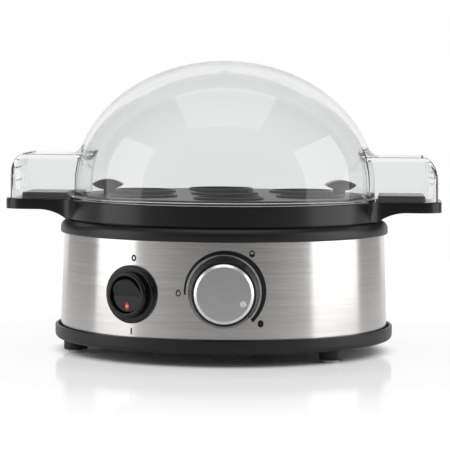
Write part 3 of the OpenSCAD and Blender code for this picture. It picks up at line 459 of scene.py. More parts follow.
def twin_of(piece):
    """A copy with its own mesh."""
    twin = piece.copy()
    twin.data = piece.data.copy()
    bpy.context.collection.objects.link(twin)
    return twin


def joined(pieces):
    focus(pieces[0])
    for piece in pieces:
        piece.select_set(True)
    bpy.ops.object.join()
    return pieces[0]


def copied(piece, places):
    """Copies a piece to several places and joins the copies."""
    made = []
    for place in places:
        made.append(twin_of(piece))
        made[-1].data.transform(place)
    bpy.data.objects.remove(piece)
    first = joined(made)
    first.data.name = first.name
    return first


def ear_plan(name, x0, reach, width, corner, z0, z1, steps=8):
    """An ear's plan raised into a solid, with its two outer corners rounded."""
    ear = block(name, x0, reach, width / 2, z0, z1)
    return bevel_edges(ear, lambda m, e: upright(e) and m.x > reach - 0.01, corner, steps)


# ------------------------------------------------------------------ camera, floor and lights

CAMERA_BACK, CAMERA_UP = 1.2, 0.1365
CAMERA_LENS = 189.7
PITCH, YAW, ROLL = math.radians(90 - 3.51), -0.000253, 0.0071
LAMPS_AIM = Vector((0, AXIS_Y * MM, 0.06))
PANEL_OUT, PANEL_RISE = 0.9, 14
FLOOR_R, FLOOR_FADE = 0.62, 0.3
BACKDROP_SIZE, BACKDROP_PLACE = 2.6, (0, 2.0, 0.8)


def make_camera():
    eye = bpy.data.cameras.new("camera")
    eye.lens, eye.sensor_width = CAMERA_LENS, 36
    camera = bpy.data.objects.new("camera", eye)
    bpy.context.collection.objects.link(camera)
    camera.matrix_world = (
        Matrix.Translation((0, AXIS_Y * MM - CAMERA_BACK, CAMERA_UP))
        @ Matrix.Rotation(YAW, 4, "Z") @ Matrix.Rotation(PITCH, 4, "X")
        @ Matrix.Rotation(ROLL, 4, "Z"))
    bpy.context.scene.camera = camera


def softbox(name, azimuth, elevation, distance, wide, tall, radiance):
    """A soft panel that faces the cooker; azimuth 0 is the front and 90 the right side."""
    panel = bpy.data.lights.new(name, "AREA")
    panel.shape, panel.size, panel.size_y = "RECTANGLE", wide, tall
    panel.energy = radiance * math.pi * wide * tall
    lamp = bpy.data.objects.new(name, panel)
    lamp.visible_camera = lamp.visible_transmission = False
    bpy.context.collection.objects.link(lamp)
    turn, rise = math.radians(azimuth), math.radians(elevation)
    towards = Vector((math.sin(turn) * math.cos(rise), -math.cos(turn) * math.cos(rise),
                      math.sin(rise)))
    lamp.location = LAMPS_AIM + towards * distance
    lamp.rotation_euler = towards.to_track_quat("Z", "Y").to_euler()


def make_world(level):
    """An even world for soft light, which the camera sees white.

    Glossy rays see the room: dim in front of the cooker, paler to the sides and below.
    Clear pieces see it white behind the cooker and greyer to the sides.
    """
    world = bpy.data.worlds.new("studio")
    bpy.context.scene.world = world
    world.use_nodes = True
    world.node_tree.nodes.clear()
    room = Nodes(world.node_tree)
    way = room.add("ShaderNodeTexCoord", {}, output="Generated")
    depth = room.add("ShaderNodeSeparateXYZ", {}, way, output="Y")
    height = room.add("ShaderNodeSeparateXYZ", {}, way, output="Z")
    to_side = room.add("ShaderNodeValToRGB", {"stops": [
        (0.0, grey(0.055)), (0.05, grey(0.12)), (0.27, grey(0.5)), (0.46, grey(0.3)),
        (0.62, grey(0.16)), (1.0, grey(0.2))]}, depth * 0.5 + 0.5)
    below = room.add("ShaderNodeMapRange", {"interpolation_type": "SMOOTHSTEP"}, Value=height,
                     From_Min=-0.12, From_Max=0.08, To_Min=0.52, To_Max=0.0)
    path = {name: room.add("ShaderNodeLightPath", {}, output=name)
            for name in ("Is Camera Ray", "Is Glossy Ray", "Is Transmission Ray")}
    even = room.add("ShaderNodeBackground", {}, grey(level))
    mirrored = room.add("ShaderNodeBackground", {}, grey(1), to_side + below)
    ahead = room.add("ShaderNodeMapRange", {}, Value=depth, From_Min=0.5, From_Max=0.96,
                     To_Min=0.66, To_Max=1.0)
    through = room.add("ShaderNodeBackground", {}, grey(1), ahead)
    white = room.add("ShaderNodeBackground", {}, grey(1))
    shade = even
    for name, seen in (("Is Glossy Ray", mirrored), ("Is Transmission Ray", through),
                       ("Is Camera Ray", white)):
        shade = room.add("ShaderNodeMixShader", {}, path[name], shade, seen)
    room.add("ShaderNodeOutputWorld", {}, shade)


def floor_paint():
    """Pale floor: shaded under the cooker, and white with a fading mirror image around it."""
    paint = Paint("floor_white", Base_Color=(0.9, 0.9, 0.9, 1), Roughness=0.5)
    reach = paint.length(paint.stretched(1 / FLOOR_FADE, 1 / FLOOR_FADE, 0,
                                         middle=(0, AXIS_Y * MM, 0)))
    paint.bump(paint.noise(900, 2), 0.00002)
    mirror = paint.add("ShaderNodeBsdfGlossy", {}, Roughness=0.1)
    white = paint.add("ShaderNodeEmission", {}, Strength=1.04)
    shine = paint.add("ShaderNodeValToRGB", {"stops": [
        (0.29, grey(0.40)), (0.42, grey(0.28)), (0.54, grey(0.26)), (0.65, grey(0.15)),
        (0.75, grey(0.09)), (0.93, grey(0.0))]}, reach)
    grazing = paint.add("ShaderNodeLayerWeight", {}, Blend=0.5, output="Facing")
    around = paint.add("ShaderNodeMixShader", {}, shine * grazing * 1.12, white, mirror)
    outside = paint.eased(reach, 0.25, 0.3)
    seen = paint.add("ShaderNodeLightPath", {}, output="Is Camera Ray")
    lit = Socket(paint, paint.shader.outputs[0])
    paint.show(paint.add("ShaderNodeMixShader", {}, outside * seen, lit, around))
    return paint.material


def card_paint():
    paint = Paint("backdrop_white")
    paint.show(paint.add("ShaderNodeEmission", {}))
    return paint.material


def make_studio():
    clear_selection()
    bpy.ops.mesh.primitive_circle_add(vertices=96, radius=FLOOR_R, fill_type="NGON",
                                      location=(0, AXIS_Y * MM, -0.00005))
    floor = edit("floor")
    bpy.ops.object.mode_set(mode="OBJECT")
    settle(floor)
    floor.data.materials.append(floor_paint())
    clear_selection()
    bpy.ops.mesh.primitive_plane_add(size=BACKDROP_SIZE, location=BACKDROP_PLACE,
                                     rotation=(math.radians(90), 0, 0))
    backdrop = edit("backdrop")
    bpy.ops.mesh.subdivide(number_cuts=2)
    bpy.ops.object.mode_set(mode="OBJECT")
    settle(backdrop)
    backdrop.data.materials.append(card_paint())
    softbox("left_panel", -80, PANEL_RISE, PANEL_OUT, wide=0.58, tall=0.75, radiance=1.7)
    softbox("right_panel", 83.5, PANEL_RISE, PANEL_OUT, wide=0.74, tall=0.75, radiance=1.9)
    softbox("top_panel", 0, 88, 1.1, wide=0.9, tall=0.9, radiance=1.2)
    make_world(0.62)


# ------------------------------------------------------------------ finishes

def darker_and_lighter(colour, less, more):
    """Two colours about the given one, as shares of it."""
    return [c * less for c in colour[:3]] + [1], [min(1, c * more) for c in colour[:3]] + [1]


def grained(name, colour, rough, gloss=0.5, grain=0.00002, scale=1400):
    """A moulded plastic: fine grain, and gloss and colour that vary slowly."""
    paint = Paint(name, Specular_IOR_Level=gloss)
    slow, fine = paint.noise(16, 2), paint.noise(scale, 2)
    paint.set(Base_Color=paint.mix(slow, *darker_and_lighter(colour, 0.82, 1.18)),
              Roughness=rough - 0.03 + slow * 0.06)
    paint.bump(fine, grain, 0.6)
    return paint.material


def cast(name, colour, rough, metal=1.0, scale=500, depth=0.00006):
    """A cast, pressed or plated metal with a soft mottle."""
    paint = Paint(name, Metallic=metal)
    mottle, cloud = paint.noise(scale, 3), paint.noise(40, 2)
    paint.set(Base_Color=paint.mix(cloud, *darker_and_lighter(colour, 0.86, 1.1)),
              Roughness=rough - 0.05 + mottle * 0.1)
    paint.bump(mottle, depth, 0.5)
    return paint.material


def brushed_steel():
    """Steel brushed round the body, with fine scratches and slow clouds."""
    paint = Paint("steel_band", Metallic=1.0, Anisotropic=0.6, Anisotropic_Rotation=0.25)
    along, across = 45, 3600
    fine = paint.noise((along, along, across), 4, 0.6)
    broad = paint.noise((along / 4, along / 4, across / 9), 2)
    mark = fine * 0.6 + broad * 0.4
    paint.set(Base_Color=paint.mix(mark, *darker_and_lighter(grey(0.55, 0.025), 0.66, 1.34)),
              Roughness=0.14 + mark * 0.12)
    paint.bump(fine, 0.00001)
    return paint.material


def clear_plastic():
    """Clear lid plastic with faint flow marks."""
    paint = Paint("clear_lid", IOR=1.49, Transmission_Weight=1.0, Base_Color=(0.91, 0.92, 0.92, 1))
    flow = paint.noise((20, 20, 60), 2)
    paint.set(Roughness=0.01 + flow * 0.03)
    paint.bump(flow, 0.00015, 0.25)
    return paint.material


def glowing_red():
    """The lit lamp window: red plastic, brighter towards its middle."""
    paint = Paint("lamp_red", Base_Color=(0.16, 0.012, 0.006, 1), Roughness=0.3,
                  Emission_Strength=1.0)
    reach = paint.length(paint.stretched(400, 400, 400, middle=LAMP.translation))
    glow = paint.eased(reach + paint.noise(500, 1) * 0.1, 0.02, 0.62)
    paint.set(Emission_Color=paint.mix(glow, (0.95, 0.3, 0.13, 1), (0.1, 0.006, 0.003, 1)))
    return paint.material


def cap_finish():
    """Satin silver cap with fine rings from the lathe, and a painted highlight: near-white on its
    edge chamfer and in its dimple.
    """
    paint = Paint("knob_silver", Metallic=1.0)
    reach = paint.length(paint.stretched(1, 0, 1, middle=(0, 0, CONTROL_Z * MM)))
    lines = paint.noise_on(paint.add("ShaderNodeCombineXYZ", {}, reach * 9000, 0.0, 0.0), 2)
    satin = paint.mix(paint.noise(1800, 3), grey(0.38), grey(0.6))
    to_dimple = paint.length(paint.stretched(1, 0, 1, middle=DIMPLE))
    # Painted highlight: the edge chamfer and the dimple get a near-white base colour in place of
    # the light they catch.
    painted_highlight = ((to_dimple < DIMPLE_R * MM) + (reach > (CAP_R - CAP_EDGE) * MM)).clamp()
    paint.set(Base_Color=paint.mix(painted_highlight, satin, grey(0.85)), Roughness=0.28 + lines * 0.1)
    paint.bump(lines, 0.000012, 0.6)
    return paint.material


def print_finish():
    """Matt black ink with slightly uneven cover."""
    paint = Paint("print_black", Specular_IOR_Level=0.3)
    cloud = paint.noise(900, 2)
    paint.set(Base_Color=paint.mix(cloud, grey(0.003), grey(0.008)), Roughness=0.5 + cloud * 0.1)
    return paint.material


PLASTICS = {  # colour, roughness, gloss, depth and scale of the grain
    "base_plastic": ((0.0045, 0.0043, 0.004), 0.38, 0.42),
    "tray_plastic": ((0.005, 0.0048, 0.0045), 0.24, 0.32, 0.000012),
    "rack_plastic": ((0.009, 0.009, 0.0088), 0.38, 0.4),
    "switch_plastic": ((0.004, 0.004, 0.004), 0.24, 0.35),
    "rocker_plastic": ((0.005, 0.005, 0.005), 0.25, 0.4),
    "knob_plastic": ((0.004, 0.004, 0.004), 0.24, 0.35),
    "pad_rubber": ((0.72, 0.71, 0.66), 0.6, 0.5, 0.00006, 700),
    "silicone": ((0.62, 0.2, 0.14), 0.5, 0.5, 0.00005, 500),
    "phenolic": ((0.075, 0.04, 0.025), 0.42, 0.5, 0.00006, 600),
    "block_plastic": ((0.72, 0.7, 0.62), 0.4),
    "wire_brown": ((0.16, 0.06, 0.025), 0.4),
    "wire_black": ((0.02, 0.02, 0.02), 0.4),
    "wire_blue": ((0.03, 0.09, 0.35), 0.4),
    "wire_green": ((0.16, 0.4, 0.06), 0.4),
}
METALS = {  # colour, roughness, share of metal, scale and depth of the mottle
    "fuse_case": (grey(0.62, 0.05), 0.35, 0.9),
    "zinc_steel": (grey(0.6, 0.02), 0.34),
    "cast_alloy": (grey(0.42), 0.5, 1.0, 700, 0.0001),
    "element_sheath": ((0.3, 0.28, 0.25, 1), 0.45, 0.9),
    "bowl_metal": (grey(0.13, 0.02), 0.38, 0.4),
}
FINISH = {name: grained(name, *look) for name, look in PLASTICS.items()}
FINISH.update((name, cast(name, *look)) for name, look in METALS.items())
FINISH.update(steel_band=brushed_steel(), knob_silver=cap_finish(), clear_lid=clear_plastic(),
              lamp_red=glowing_red(), print_black=print_finish())


# ------------------------------------------------------------------ base

BAND_SIDES, MOULD_SIDES, LID_SIDES = 288, 224, 176
KNOB_HOLE_R, SWITCH_HOLE_R, GLAND_HOLE_R = 4.9, 10.05, 5.55
PRINT_LIFT, PRINT_TOP = 0.015, 0.05


def make_steel_band():
    """The rolled steel band, with holes for the knob's bush, the switch and the cord gland."""
    band = turned("band", [
        (shell_at(SHELL_LOW), SHELL_LOW), (shell_at(SHELL_TOP), SHELL_TOP),
        (shell_at(SHELL_TOP) - SHEET, SHELL_TOP), (shell_at(SHELL_LOW) - SHEET, SHELL_LOW)],
        BAND_SIDES)
    for direction, z, r in ((-90, CONTROL_Z, KNOB_HOLE_R), (SWITCH_DIR, SWITCH_Z, SWITCH_HOLE_R),
                            (90, GLAND_Z, GLAND_HOLE_R)):
        combine(band, rod("hole", r, SHELL_R / 2, SHELL_R + 5, 64, outward(direction, z)),
                "DIFFERENCE")
    return finish_piece(band, "steel_band", "base", "steel_shell")


def stamp(wide, tall, azimuth, z, narrow=1.0, right=0.0, up=0.0):
    """A solid through the band's front with an oval outline, narrower towards its top."""
    clear_selection()
    bpy.ops.mesh.primitive_cylinder_add(vertices=72, radius=1, depth=1)
    edit("stamp")
    bpy.ops.transform.resize(value=(tall / 2 * MM, wide / 2 * MM, 30 * MM))
    if narrow != 1:
        pick("VERT", lambda middle, vert: middle.x < -0.01 * MM)
        bpy.ops.transform.resize(value=(1.25, 1, 1), center_override=(0, 0, 0))
    bpy.ops.object.mode_set(mode="OBJECT")
    return settle(bpy.context.object, outward(azimuth - 90, z) @ moved(-up, right, SHELL_R))


def hollow_stamp(wide, tall, line, azimuth, z, narrow=1.0):
    return combine(stamp(wide, tall, azimuth, z, narrow),
                   stamp(wide - 2 * line, tall - 2 * line, azimuth, z, narrow), "DIFFERENCE")


def half_plane(turn):
    """Everything on the far side of a line through the knob's axis, seen from the front."""
    return settle(block("half", 0, 30, 30, SHELL_R / 2, 1.5 * SHELL_R),
                  AT_KNOB @ turn_about("Z", turn))


def make_prints():
    """The black marks on the band: 0 and I, three eggs, and the wedge of the hardness scale."""
    wedge = combine(stamp(39.2, 39.2, 0, CONTROL_Z, right=0.55),
                    stamp(36.1, 36.1, 0, CONTROL_Z, right=-0.1, up=-0.35), "DIFFERENCE")
    combine(wedge, combine(half_plane(-46), half_plane(5), "INTERSECT"), "DIFFERENCE")
    azimuth, z = 9.4, 54
    half_egg = hollow_stamp(2.8, 3.1, 0.55, azimuth, z, 0.9)
    upper = settle(block("upper", -10, 0, 10, 40, 120), outward(azimuth - 90, z))
    lower = combine(stamp(2.8, 3.1, azimuth, z, 0.9), upper, "DIFFERENCE")
    combine(half_egg, lower, "UNION")
    bar = settle(block("bar", -1.5, 1.5, 0.38, 60, 100), outward(-122.5, 15.9))
    nought = hollow_stamp(2.7, 3.2, 0.8, -32.2, 51)
    open_egg = hollow_stamp(2.5, 2.9, 0.55, -15.4, 35, 0.9)
    filled_egg = stamp(2.9, 3.1, 12.3, 20.8, 0.9)
    coat = [(shell_at(z) + rise, z) for z, rise in (
        (SHELL_LOW, PRINT_LIFT), (SHELL_TOP, PRINT_LIFT), (SHELL_TOP, PRINT_TOP),
        (SHELL_LOW, PRINT_TOP))]
    prints = joined([combine(turned("ink", coat, BAND_SIDES), mark, "INTERSECT")
                     for mark in (wedge, half_egg, bar, nought, open_egg, filled_egg)])
    prints.name = prints.data.name = "prints"
    return finish_piece(prints, "base_plastic", "base", finish="print_black")


FEET = ring_of_three(FOOT_RING_R, FOOT_ANGLE)
POSTS = ring_of_three(POST_RING_R, POST_ANGLE)


def make_bottom_cover():
    """The moulded foot of the body: a floor with feet and screw bosses, and a thin lip."""
    top, bottom, under = COVER_TOP, COVER_LOW, low("bottom_cover").z
    r, wall_r = radius_of("bottom_cover"), SHELL_R - 0.9
    cover = turned("cover", rounded([
        (0.4, bottom, 0), (r, bottom, 2.5), (r, top, 0.55), (r - 1.5, top, 0.35),
        (r - 1.5, SHELL_LOW, 0.2), (wall_r, SHELL_LOW, 0),
        (wall_r, SHELL_LOW + 2, 0.3), (SHELL_R - 2.7, SHELL_LOW + 2, 0.3),
        (SHELL_R - 2.7, FLOOR_TOP, 0.8), (0.4, FLOOR_TOP, 0)], 6), MOULD_SIDES)
    foot = plug("feet", rounded([(6, bottom + 1, 0), (6, under, 0.5), (3.8, under, 0)], 4,
                                loop=False), 64)
    combine(cover, copied(foot, FEET), "UNION")
    boss = plug("bosses", rounded([(4.6, bottom + 1, 0), (4.6, BOSS_TOP, 0.4),
                                   (1.7, BOSS_TOP, 0)], 3, loop=False), 48)
    seat = BOSS_TOP - 4
    bore = plug("bores", [(3.2, bottom - 1), (3.2, seat), (1.7, seat), (1.7, BOSS_TOP + 2)], 48)
    combine(cover, copied(boss, POSTS), "UNION")
    combine(cover, copied(bore, POSTS), "DIFFERENCE")
    return finish_piece(cover, "base_plastic", "base", "bottom_cover")


def make_foot_pads():
    """Soft pads, each with a pin that stands in its foot."""
    pad_r, pad_t, pin_r, pin_top = 3.75, 1.3, 2, 4.3
    pad = turned("pads", rounded([(0.3, 0, 0), (pad_r, 0, 0.5), (pad_r, pad_t, 0),
                                  (pin_r, pad_t, 0), (pin_r, pin_top, 0.3), (0.3, pin_top, 0)],
                                 4), 64, place=Matrix())
    return finish_piece(copied(pad, FEET), "pad_rubber", "base", "foot_pads")


def make_upper_rim():
    """The moulded ring on the band's upper edge, with its inner ledge for the bowl."""
    r, bottom, top, ledge = radius_of("upper_rim"), RIM_LOW, RIM_TOP, RIM_LOW + 2.5
    inner, well, groove_in, groove_out = 66, 72.3, 79.95, 80.95
    rim = turned("rim", rounded([
        (inner, bottom, 0.3), (groove_in, bottom, 0), (groove_in, SHELL_TOP, 0),
        (groove_out, SHELL_TOP, 0), (groove_out, bottom, 0), (r, bottom, 0.8), (r, top, 4),
        (well, top, 0.6), (well, ledge, 0.3), (inner, ledge, 0.3)], 7), MOULD_SIDES)
    post = plug("posts", rounded([(4.2, BOSS_TOP + 0.02, 0.3), (4.2, bottom + 0.8, 0)], 3,
                                 loop=False), 48)
    combine(rim, copied(post, POSTS), "UNION")
    return finish_piece(rim, "base_plastic", "base", "upper_rim")


def make_heating_bowl():
    """The water bowl, a dish with a flange."""
    under, top, flange_r = low("heating_bowl").z, high("heating_bowl").z, radius_of("heating_bowl")
    r, wall = 64.8, 1.2
    bowl = turned("bowl", rounded([
        (0.5, under, 0), (r, under, 4), (r, top - wall, 0.3), (flange_r, top - wall, 0.2),
        (flange_r, top, 0.4), (r - wall, top, 0.8), (r - wall, under + wall, 2.8),
        (0.5, under + wall, 0)], 6), 192)
    return finish_piece(bowl, "bowl_metal", "base", "heating_bowl")


def make_cord_gland():
    """The bush at the back that the cord leaves through, with a barb behind the steel."""
    front, bore, neck, barb, head = high("cord_gland").y - AXIS_Y, 3.2, 5.5, 1.1, 8
    back, inside = front - 19, shell_at(GLAND_Z + head) - SHEET - 0.3
    outside = inside + 1.6
    gland = turned("gland", rounded([
        (bore, back, 0.3), (neck - 0.8, back, 0), (neck + barb, inside - barb, 0),
        (neck + barb, inside, 0), (neck, inside, 0), (neck, outside, 0), (head, outside, 0),
        (head, front, 1.2), (bore, front, 0.8)], 5), 96, place=outward(90, GLAND_Z))
    return finish_piece(gland, "base_plastic", "base", "cord_gland")


# ------------------------------------------------------------------ knob and switch

def make_knob():
    """The tapered black knob with a satin cap that has a chamfered edge and a round dimple, both
    with a painted highlight.
    """
    b, f = KNOB_BACK, KNOB_FRONT
    seat, lip, hub_back = f - 3.2, f - 1.6, b + 2.95
    skirt_r, cap_hole, shaft_r, hub_r = 17, CAP_R + 0.05, 3.03, 5.5
    body = turned("knob_skirt", rounded([
        (skirt_r - 2, b, 0.3), (skirt_r, b, 0.5), (skirt_r, b + 3, 3.5), (15.2, lip, 0.7),
        (cap_hole, lip, 0.2), (cap_hole, seat, 0), (shaft_r, seat, 0), (shaft_r, hub_back, 0),
        (hub_r, hub_back, 0.2), (hub_r, seat - 2, 0.5), (13.1, seat - 2, 0.8)],
        6), 160, place=AT_KNOB)
    finish_piece(body, "knob_plastic", "knob", "knob_body")
    cap = plug("knob_face", [(CAP_R, seat), (CAP_R, f - 1.3), (CAP_R - 0.1, f - 1.1),
                             (CAP_R - 1.15, f - 0.06), (CAP_R - CAP_EDGE, f), (0.3, f)],
               160, AT_KNOB)
    dimple = plug("dimple", [(0.2, f - 0.75), (0.55, f - 0.72), (0.62, f - 0.68),
                             (1.35, f - 0.02), (1.6, f + 0.3)], 64)
    settle(dimple, Matrix.Translation(DIMPLE) @ AT_KNOB.to_3x3().to_4x4())
    combine(cap, dimple, "DIFFERENCE")
    finish_piece(cap, "knob_silver", "knob", "knob_cap", angle=20)


def make_switch_collar():
    """The collar, cut to the band's curve at its back."""
    bore, r, back = 9.95, 14, COLLAR_FRONT - 3.8
    collar = turned("collar", rounded([(bore, back, 0), (r, back, 0), (r, COLLAR_FRONT, 1),
                                       (bore, COLLAR_FRONT, 0)], 6), 128, place=AT_SWITCH)
    core = turned("core", [(shell_at(SHELL_LOW) + 0.05, SHELL_LOW),
                           (shell_at(SHELL_TOP) + 0.05, SHELL_TOP)], BAND_SIDES, loop=False)
    combine(collar, core, "DIFFERENCE")
    finish_piece(collar, "switch_plastic", "base", "switch_collar")


def make_switch_body():
    """The switch's body with its bezel and the well that the rocker sits in."""
    r, bezel_r, well, back = 9.9, 11.2, 8.85, BEZEL_FRONT - 24
    body = plug("bezel", rounded([
        (r, back, 0.5), (r, COLLAR_FRONT, 0), (bezel_r, COLLAR_FRONT, 0),
        (bezel_r, BEZEL_FRONT, 1.2), (well, BEZEL_FRONT, 0.5), (well, PIVOT - 7.5, 0)], 6,
        loop=False), 128, AT_SWITCH)
    finish_piece(body, "switch_plastic", "base", "switch_body")


def make_rocker():
    """The rocker, a ball cut to two flat faces, and its lamp window."""
    ball_r, under, sunk = 8.5, -4, -3
    clear_selection()
    bpy.ops.mesh.primitive_uv_sphere_add(segments=96, ring_count=64, radius=ball_r * MM)
    rocker = edit("rocker_cap")
    bpy.ops.mesh.bisect(plane_co=(0, 0, under * MM), plane_no=(0, 0, 1), use_fill=True,
                        clear_inner=True)
    bpy.ops.object.mode_set(mode="OBJECT")
    for side in (0, 180):
        wedge = settle(block("wedge", 0, 20, 20, 0, 20), moved(0, 0, ROCKER_H)
                       @ turn_about("Z", side) @ turn_about("Y", -SWING / 2))
        combine(rocker, wedge, "DIFFERENCE")
    window = block("window", LAMP_OUT - 2, LAMP_OUT + 2, 1.2, sunk, 0.3)
    bevel_edges(window, lambda m, e: upright(e), 1.19, 8)
    settle(window, ROCKER_FACE)
    lens = twin_of(window)
    combine(rocker, window, "DIFFERENCE")
    bevel_edges(rocker, lambda m, e: e.calc_face_angle(0) > math.radians(30) and m.z > sunk,
                0.25, 2)
    settle(rocker, ROCKER_TILT)
    finish_piece(rocker, "rocker_plastic", "rocker", "rocker")
    lens.name = lens.data.name = "lamp_window"
    bevel_edges(lens, lambda m, e: m.z > 1.2 and not upright(e), 0.2, 2)
    settle(lens, ROCKER_TILT)
    finish_piece(lens, "lamp_red", "rocker", "rocker_lens")


# ------------------------------------------------------------------ tray, rack and lid

DECK = low("egg_rack").z - REST_GAP
DECK_UNDER = DECK - 2.2
TRAY_R, TRAY_WALL_R, EAR_ROOT_R = 79, 78.4, 77.6
EAR_W, EAR_REACH, EAR_T = 44, 109.5, 5.3
LINE_Z = RIM_TOP + 0.5
SPIGOT_LOW = high("heating_bowl").z + 0.5
BOTH_SIDES = [Matrix(), turn_about("Z", 180)]


def tray_core(r):
    """A round cutter through the whole height of the tray."""
    return rod("core", r, 50, 90, MOULD_SIDES)


def make_tray_ear():
    """One flared ear, hollow below, with fillets at its root and a raised pad on it."""
    ear = ear_plan("ears", 74.5, EAR_REACH, EAR_W, 10, LINE_Z + 0.1, DECK, 10)
    fillet_r, fillet_x, fillet_y = 9, 82.4, 31
    web = block("web", 70, fillet_x, 27.8, LINE_Z + 0.1, DECK)
    for side in (1, -1):
        corner = rod("corner", fillet_r, 50, 90, 72, moved(fillet_x, side * fillet_y, 0))
        combine(web, corner, "DIFFERENCE")
    combine(ear, web, "UNION")
    bevel_edges(ear, lambda m, e: m.z > DECK - 0.01 and math.hypot(m.x, m.y) > TRAY_R + 0.6
                and e.calc_face_angle(0) > 1, 0.7, 3)
    flare_r, flare_x = 24, 92
    combine(ear, rod("flare", flare_r, -40, 40, 160,
                     moved(flare_x, 0, DECK - EAR_T - flare_r) @ ALONG_Y), "DIFFERENCE")
    combine(ear, block("under", flare_x, 130, 40, 40, DECK - EAR_T), "DIFFERENCE")
    hollow = ear_plan("hollow", 70, EAR_REACH - 2.2, EAR_W - 4.4, 7.8, 60, DECK_UNDER, 8)
    combine(hollow, tray_core(TRAY_WALL_R), "DIFFERENCE")
    combine(ear, hollow, "DIFFERENCE")
    pad = ear_plan("pad", 70, 101.3, 32.6, 4, DECK - 1, DECK + 3, 6)
    bevel_edges(pad, lambda m, e: m.z > DECK + 2.99, 1.0, 3)
    combine(pad, tray_core(TRAY_R + 0.4), "DIFFERENCE")
    combine(ear, tray_core(EAR_ROOT_R), "DIFFERENCE")
    return combine(ear, pad, "UNION")


def make_tray():
    """The tray: deck, spigot and skirt turned in one, with an ear at either side."""
    opening, spigot_in, spigot_out, skirt_in, step = 64.5, 69.7, 71.9, 76.0, 77.8
    skirt_low = RIM_TOP + REST_GAP
    tray = turned("tray", rounded([
        (opening, DECK_UNDER, 0.5), (spigot_in, DECK_UNDER, 0.3), (spigot_in, SPIGOT_LOW, 0.4),
        (spigot_out, SPIGOT_LOW, 0.4), (spigot_out, DECK_UNDER, 0.3), (skirt_in, DECK_UNDER, 0.6),
        (skirt_in, skirt_low, 0.2), (step, skirt_low, 0.2), (step, LINE_Z, 0),
        (TRAY_R, LINE_Z, 0.3), (TRAY_R, DECK, 0.7), (opening, DECK, 0.7)], 5), MOULD_SIDES,
        place=on_axis(TRAY_TURN))
    ears = copied(make_tray_ear(), [on_axis(TRAY_TURN), on_axis(TRAY_TURN + 180)])
    combine(tray, ears, "UNION")
    return finish_piece(tray, "tray_plastic", "steam_tray", "steam_tray")


def make_finger_tab(plate_low, plate_top):
    """A leaf on a stem: two crossing rods, trimmed to the leaf's width."""
    out, half_length, width, leaf_t, rise = 59.2, 8, 13, 5.2, 7.6
    r = (half_length * half_length + leaf_t * leaf_t / 4) / leaf_t
    middle = plate_top + rise - leaf_t / 2
    leaf = rod("tabs", r, -width / 2, width / 2, 192,
               moved(out, 0, middle + leaf_t / 2 - r) @ ALONG_Y)
    lower = rod("lower", r, -width, width, 192, moved(out, 0, middle + r - leaf_t / 2) @ ALONG_Y)
    combine(leaf, lower, "INTERSECT")
    plan = ear_plan("plan", 50, out + half_length, width, width / 2 - 0.01, plate_low,
                    plate_low + 20, 12)
    combine(leaf, plan, "INTERSECT")
    stem = block("stem", out - 4, out + 2, 3.2, plate_low + 1, middle)
    bevel_edges(stem, lambda m, e: upright(e), 1.2, 4)
    return combine(leaf, stem, "UNION")


def make_rack():
    """The egg rack: a plate with seven collared holes and two leaf-shaped finger tabs."""
    r, hole_r, hole_ring_r, collar_r = 70, 15.5, 47.7, 17
    z, top = low("egg_rack").z, low("egg_rack").z + 2
    collar_top = top + 1.3
    rack = turned("rack", rounded([(0.5, z, 0), (r, z, 0.5), (r, top, 0.8), (0.5, top, 0)], 4),
                  192, place=Matrix())
    spots = [Matrix()] + [moved(*polar_mm(hole_ring_r, 30 + 60 * k)) for k in range(6)]
    collar = turned("collars", rounded([
        (hole_r + 0.1, z + 0.6, 0), (collar_r, z + 0.6, 0), (collar_r, collar_top, 0.6),
        (hole_r + 0.1, collar_top, 0)], 4), 96, place=Matrix())
    combine(rack, copied(collar, spots), "UNION")
    combine(rack, copied(rod("holes", hole_r, z - 2, z + 6, 96), spots), "DIFFERENCE")
    combine(rack, copied(make_finger_tab(z, top), BOTH_SIDES), "UNION")
    settle(rack, on_axis(RACK_TURN))
    return finish_piece(rack, "rack_plastic", "egg_rack", "egg_rack")


LID_Z = low("lid").z
DOME_R, DOME_H, DOME_IN_H, LID_WALL = 76, 62.3, 58.5, 2.8
DOME_Z = LID_Z + 7.3
LID_REACH = EAR_REACH - 1.8
LID_EAR_W, LID_EAR_H, LID_EAR_WALL = 40.4, 22.2, 2.4
NOSE_L, NOSE_H = 8, 13.5


def lid_ear(name, wall, bottom):
    """One lid ear as a solid, drawn in by a wall: its plan crossed with its side view."""
    reach, top = LID_REACH - wall, LID_Z + LID_EAR_H - wall
    nose_x, nose_z = reach - NOSE_L + wall, top - NOSE_H + wall
    ear = ear_plan(name, 60, reach, LID_EAR_W - 2 * wall, 10 - wall, bottom, top + 5, 8)
    side = block("side", 50, nose_x, 30, bottom - 5, top)
    nose = rod("nose", 1, -30, 30, 96, moved(nose_x, 0, nose_z) @ ALONG_Y
               @ Matrix.Diagonal((NOSE_L - wall, NOSE_H - wall, 1, 1)))
    combine(side, nose, "UNION")
    combine(side, block("end", 60, reach, 30, bottom - 5, nose_z), "UNION")
    return combine(ear, side, "INTERSECT")


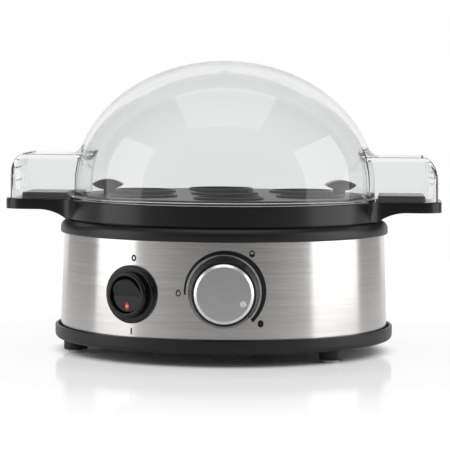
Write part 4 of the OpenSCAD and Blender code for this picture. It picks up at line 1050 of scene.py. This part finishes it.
def make_hollow_ear():
    """A lid ear with a fillet to the dome over it, hollow and open below."""
    ear = lid_ear("lid_ears", 0, LID_Z)
    bevel_edges(ear, lambda m, e: e.calc_face_angle(0) > math.radians(35) and m.x > DOME_R
                and m.z > LID_Z + 1, 0.6, 2)
    top, inside_r, foot_r, fillet_r = LID_Z + LID_EAR_H, 69, 79, 7
    fillet = turned("fillet", [(inside_r, top - 1), (foot_r + 0.1, top - 1)]
                    + arc(foot_r, top + fillet_r, fillet_r, fillet_r, -90, -163, 8)[1:]
                    + [(inside_r, top + 5)], LID_SIDES, place=Matrix())
    combine(fillet, ear_plan("strip", 60, 90, 39.4, 3, top - 2, top + 8), "INTERSECT")
    combine(ear, fillet, "UNION")
    combine(ear, lid_ear("inside", LID_EAR_WALL, LID_Z - 3), "DIFFERENCE")
    core_r = DOME_R - 0.5
    core = plug("core", [(core_r, LID_Z - 3), (core_r, DOME_Z)]
                + arc(0, DOME_Z, core_r, DOME_H - 0.5, 0, 89, 44)[1:], LID_SIDES)
    return combine(ear, core, "DIFFERENCE")


def make_lid():
    """The clear lid: a domed shell with a foot flange, a steam hole and two hollow ears."""
    inner, flange_r, flange_top = DOME_R - LID_WALL, 78.7, LID_Z + 1.4
    foot = rounded([(inner, LID_Z, 0), (flange_r, LID_Z, 0.3), (flange_r, flange_top, 0.5),
                    (DOME_R, flange_top, 0.4), (DOME_R, DOME_Z, 0)], 3, loop=False)
    hole_out, hole_in = 88.68, 88.63
    lid = turned("dome", foot[:-1] + arc(0, DOME_Z, DOME_R, DOME_H, 0, hole_out, 44)
                 + arc(0, DOME_Z, inner, DOME_IN_H, hole_in, 0, 44), LID_SIDES, place=Matrix())
    combine(lid, copied(make_hollow_ear(), BOTH_SIDES), "UNION")
    mark_in, mark_out = 1.05, 1.5
    mark = turned("mark", [(mark_in, -0.2), (mark_out, -0.2), (mark_out, 0.15), (mark_in, 0.15)],
                  48, place=moved(-98.4, -20.2, LID_Z + 5.7) @ ALONG_Y)
    combine(lid, mark, "UNION")
    settle(lid, on_axis(TRAY_TURN))
    return finish_piece(lid, "clear_lid", "lid", "lid")


# ------------------------------------------------------------------ inner parts that stay as packed

KEPT = {
    "zinc_steel": ("case_screws", "bowl_brackets", "bracket_screws", "thermostat_bracket",
                   "heater_screws", "fuse_clamp", "regulator_bracket", "regulator_nut",
                   "regulator_terminals", "regulator_shaft", "knob_spring_clip",
                   "switch_terminals", "terminal_screws", "element_terminals"),
    "silicone": ("bowl_seal",),
    "cast_alloy": ("heat_spreader",),
    "element_sheath": ("heating_element",),
    "phenolic": ("boil_dry_thermostat", "regulator_body"),
    "fuse_case": ("thermal_fuse",),
    "block_plastic": ("terminal_block",),
    "wire_brown": ("live_lead",),
    "wire_black": ("switched_lead", "thermostat_lead", "fuse_lead", "element_lead"),
    "wire_blue": ("neutral_lead",),
    "wire_green": ("earth_lead",),
}


def dress_inner_parts():
    for finish, names in KEPT.items():
        for name in names:
            mesh = nodes[name].data
            mesh.materials.clear()
            mesh.materials.append(FINISH[finish])


make_camera()
make_studio()
make_steel_band()
make_prints()
make_bottom_cover()
make_foot_pads()
make_upper_rim()
make_heating_bowl()
make_cord_gland()
make_knob()
make_switch_collar()
make_switch_body()
make_rocker()
make_tray()
make_rack()
make_lid()
dress_inner_parts()

view_settings = bpy.context.scene.view_settings
view_settings.view_transform = "Standard"
clear_selection()
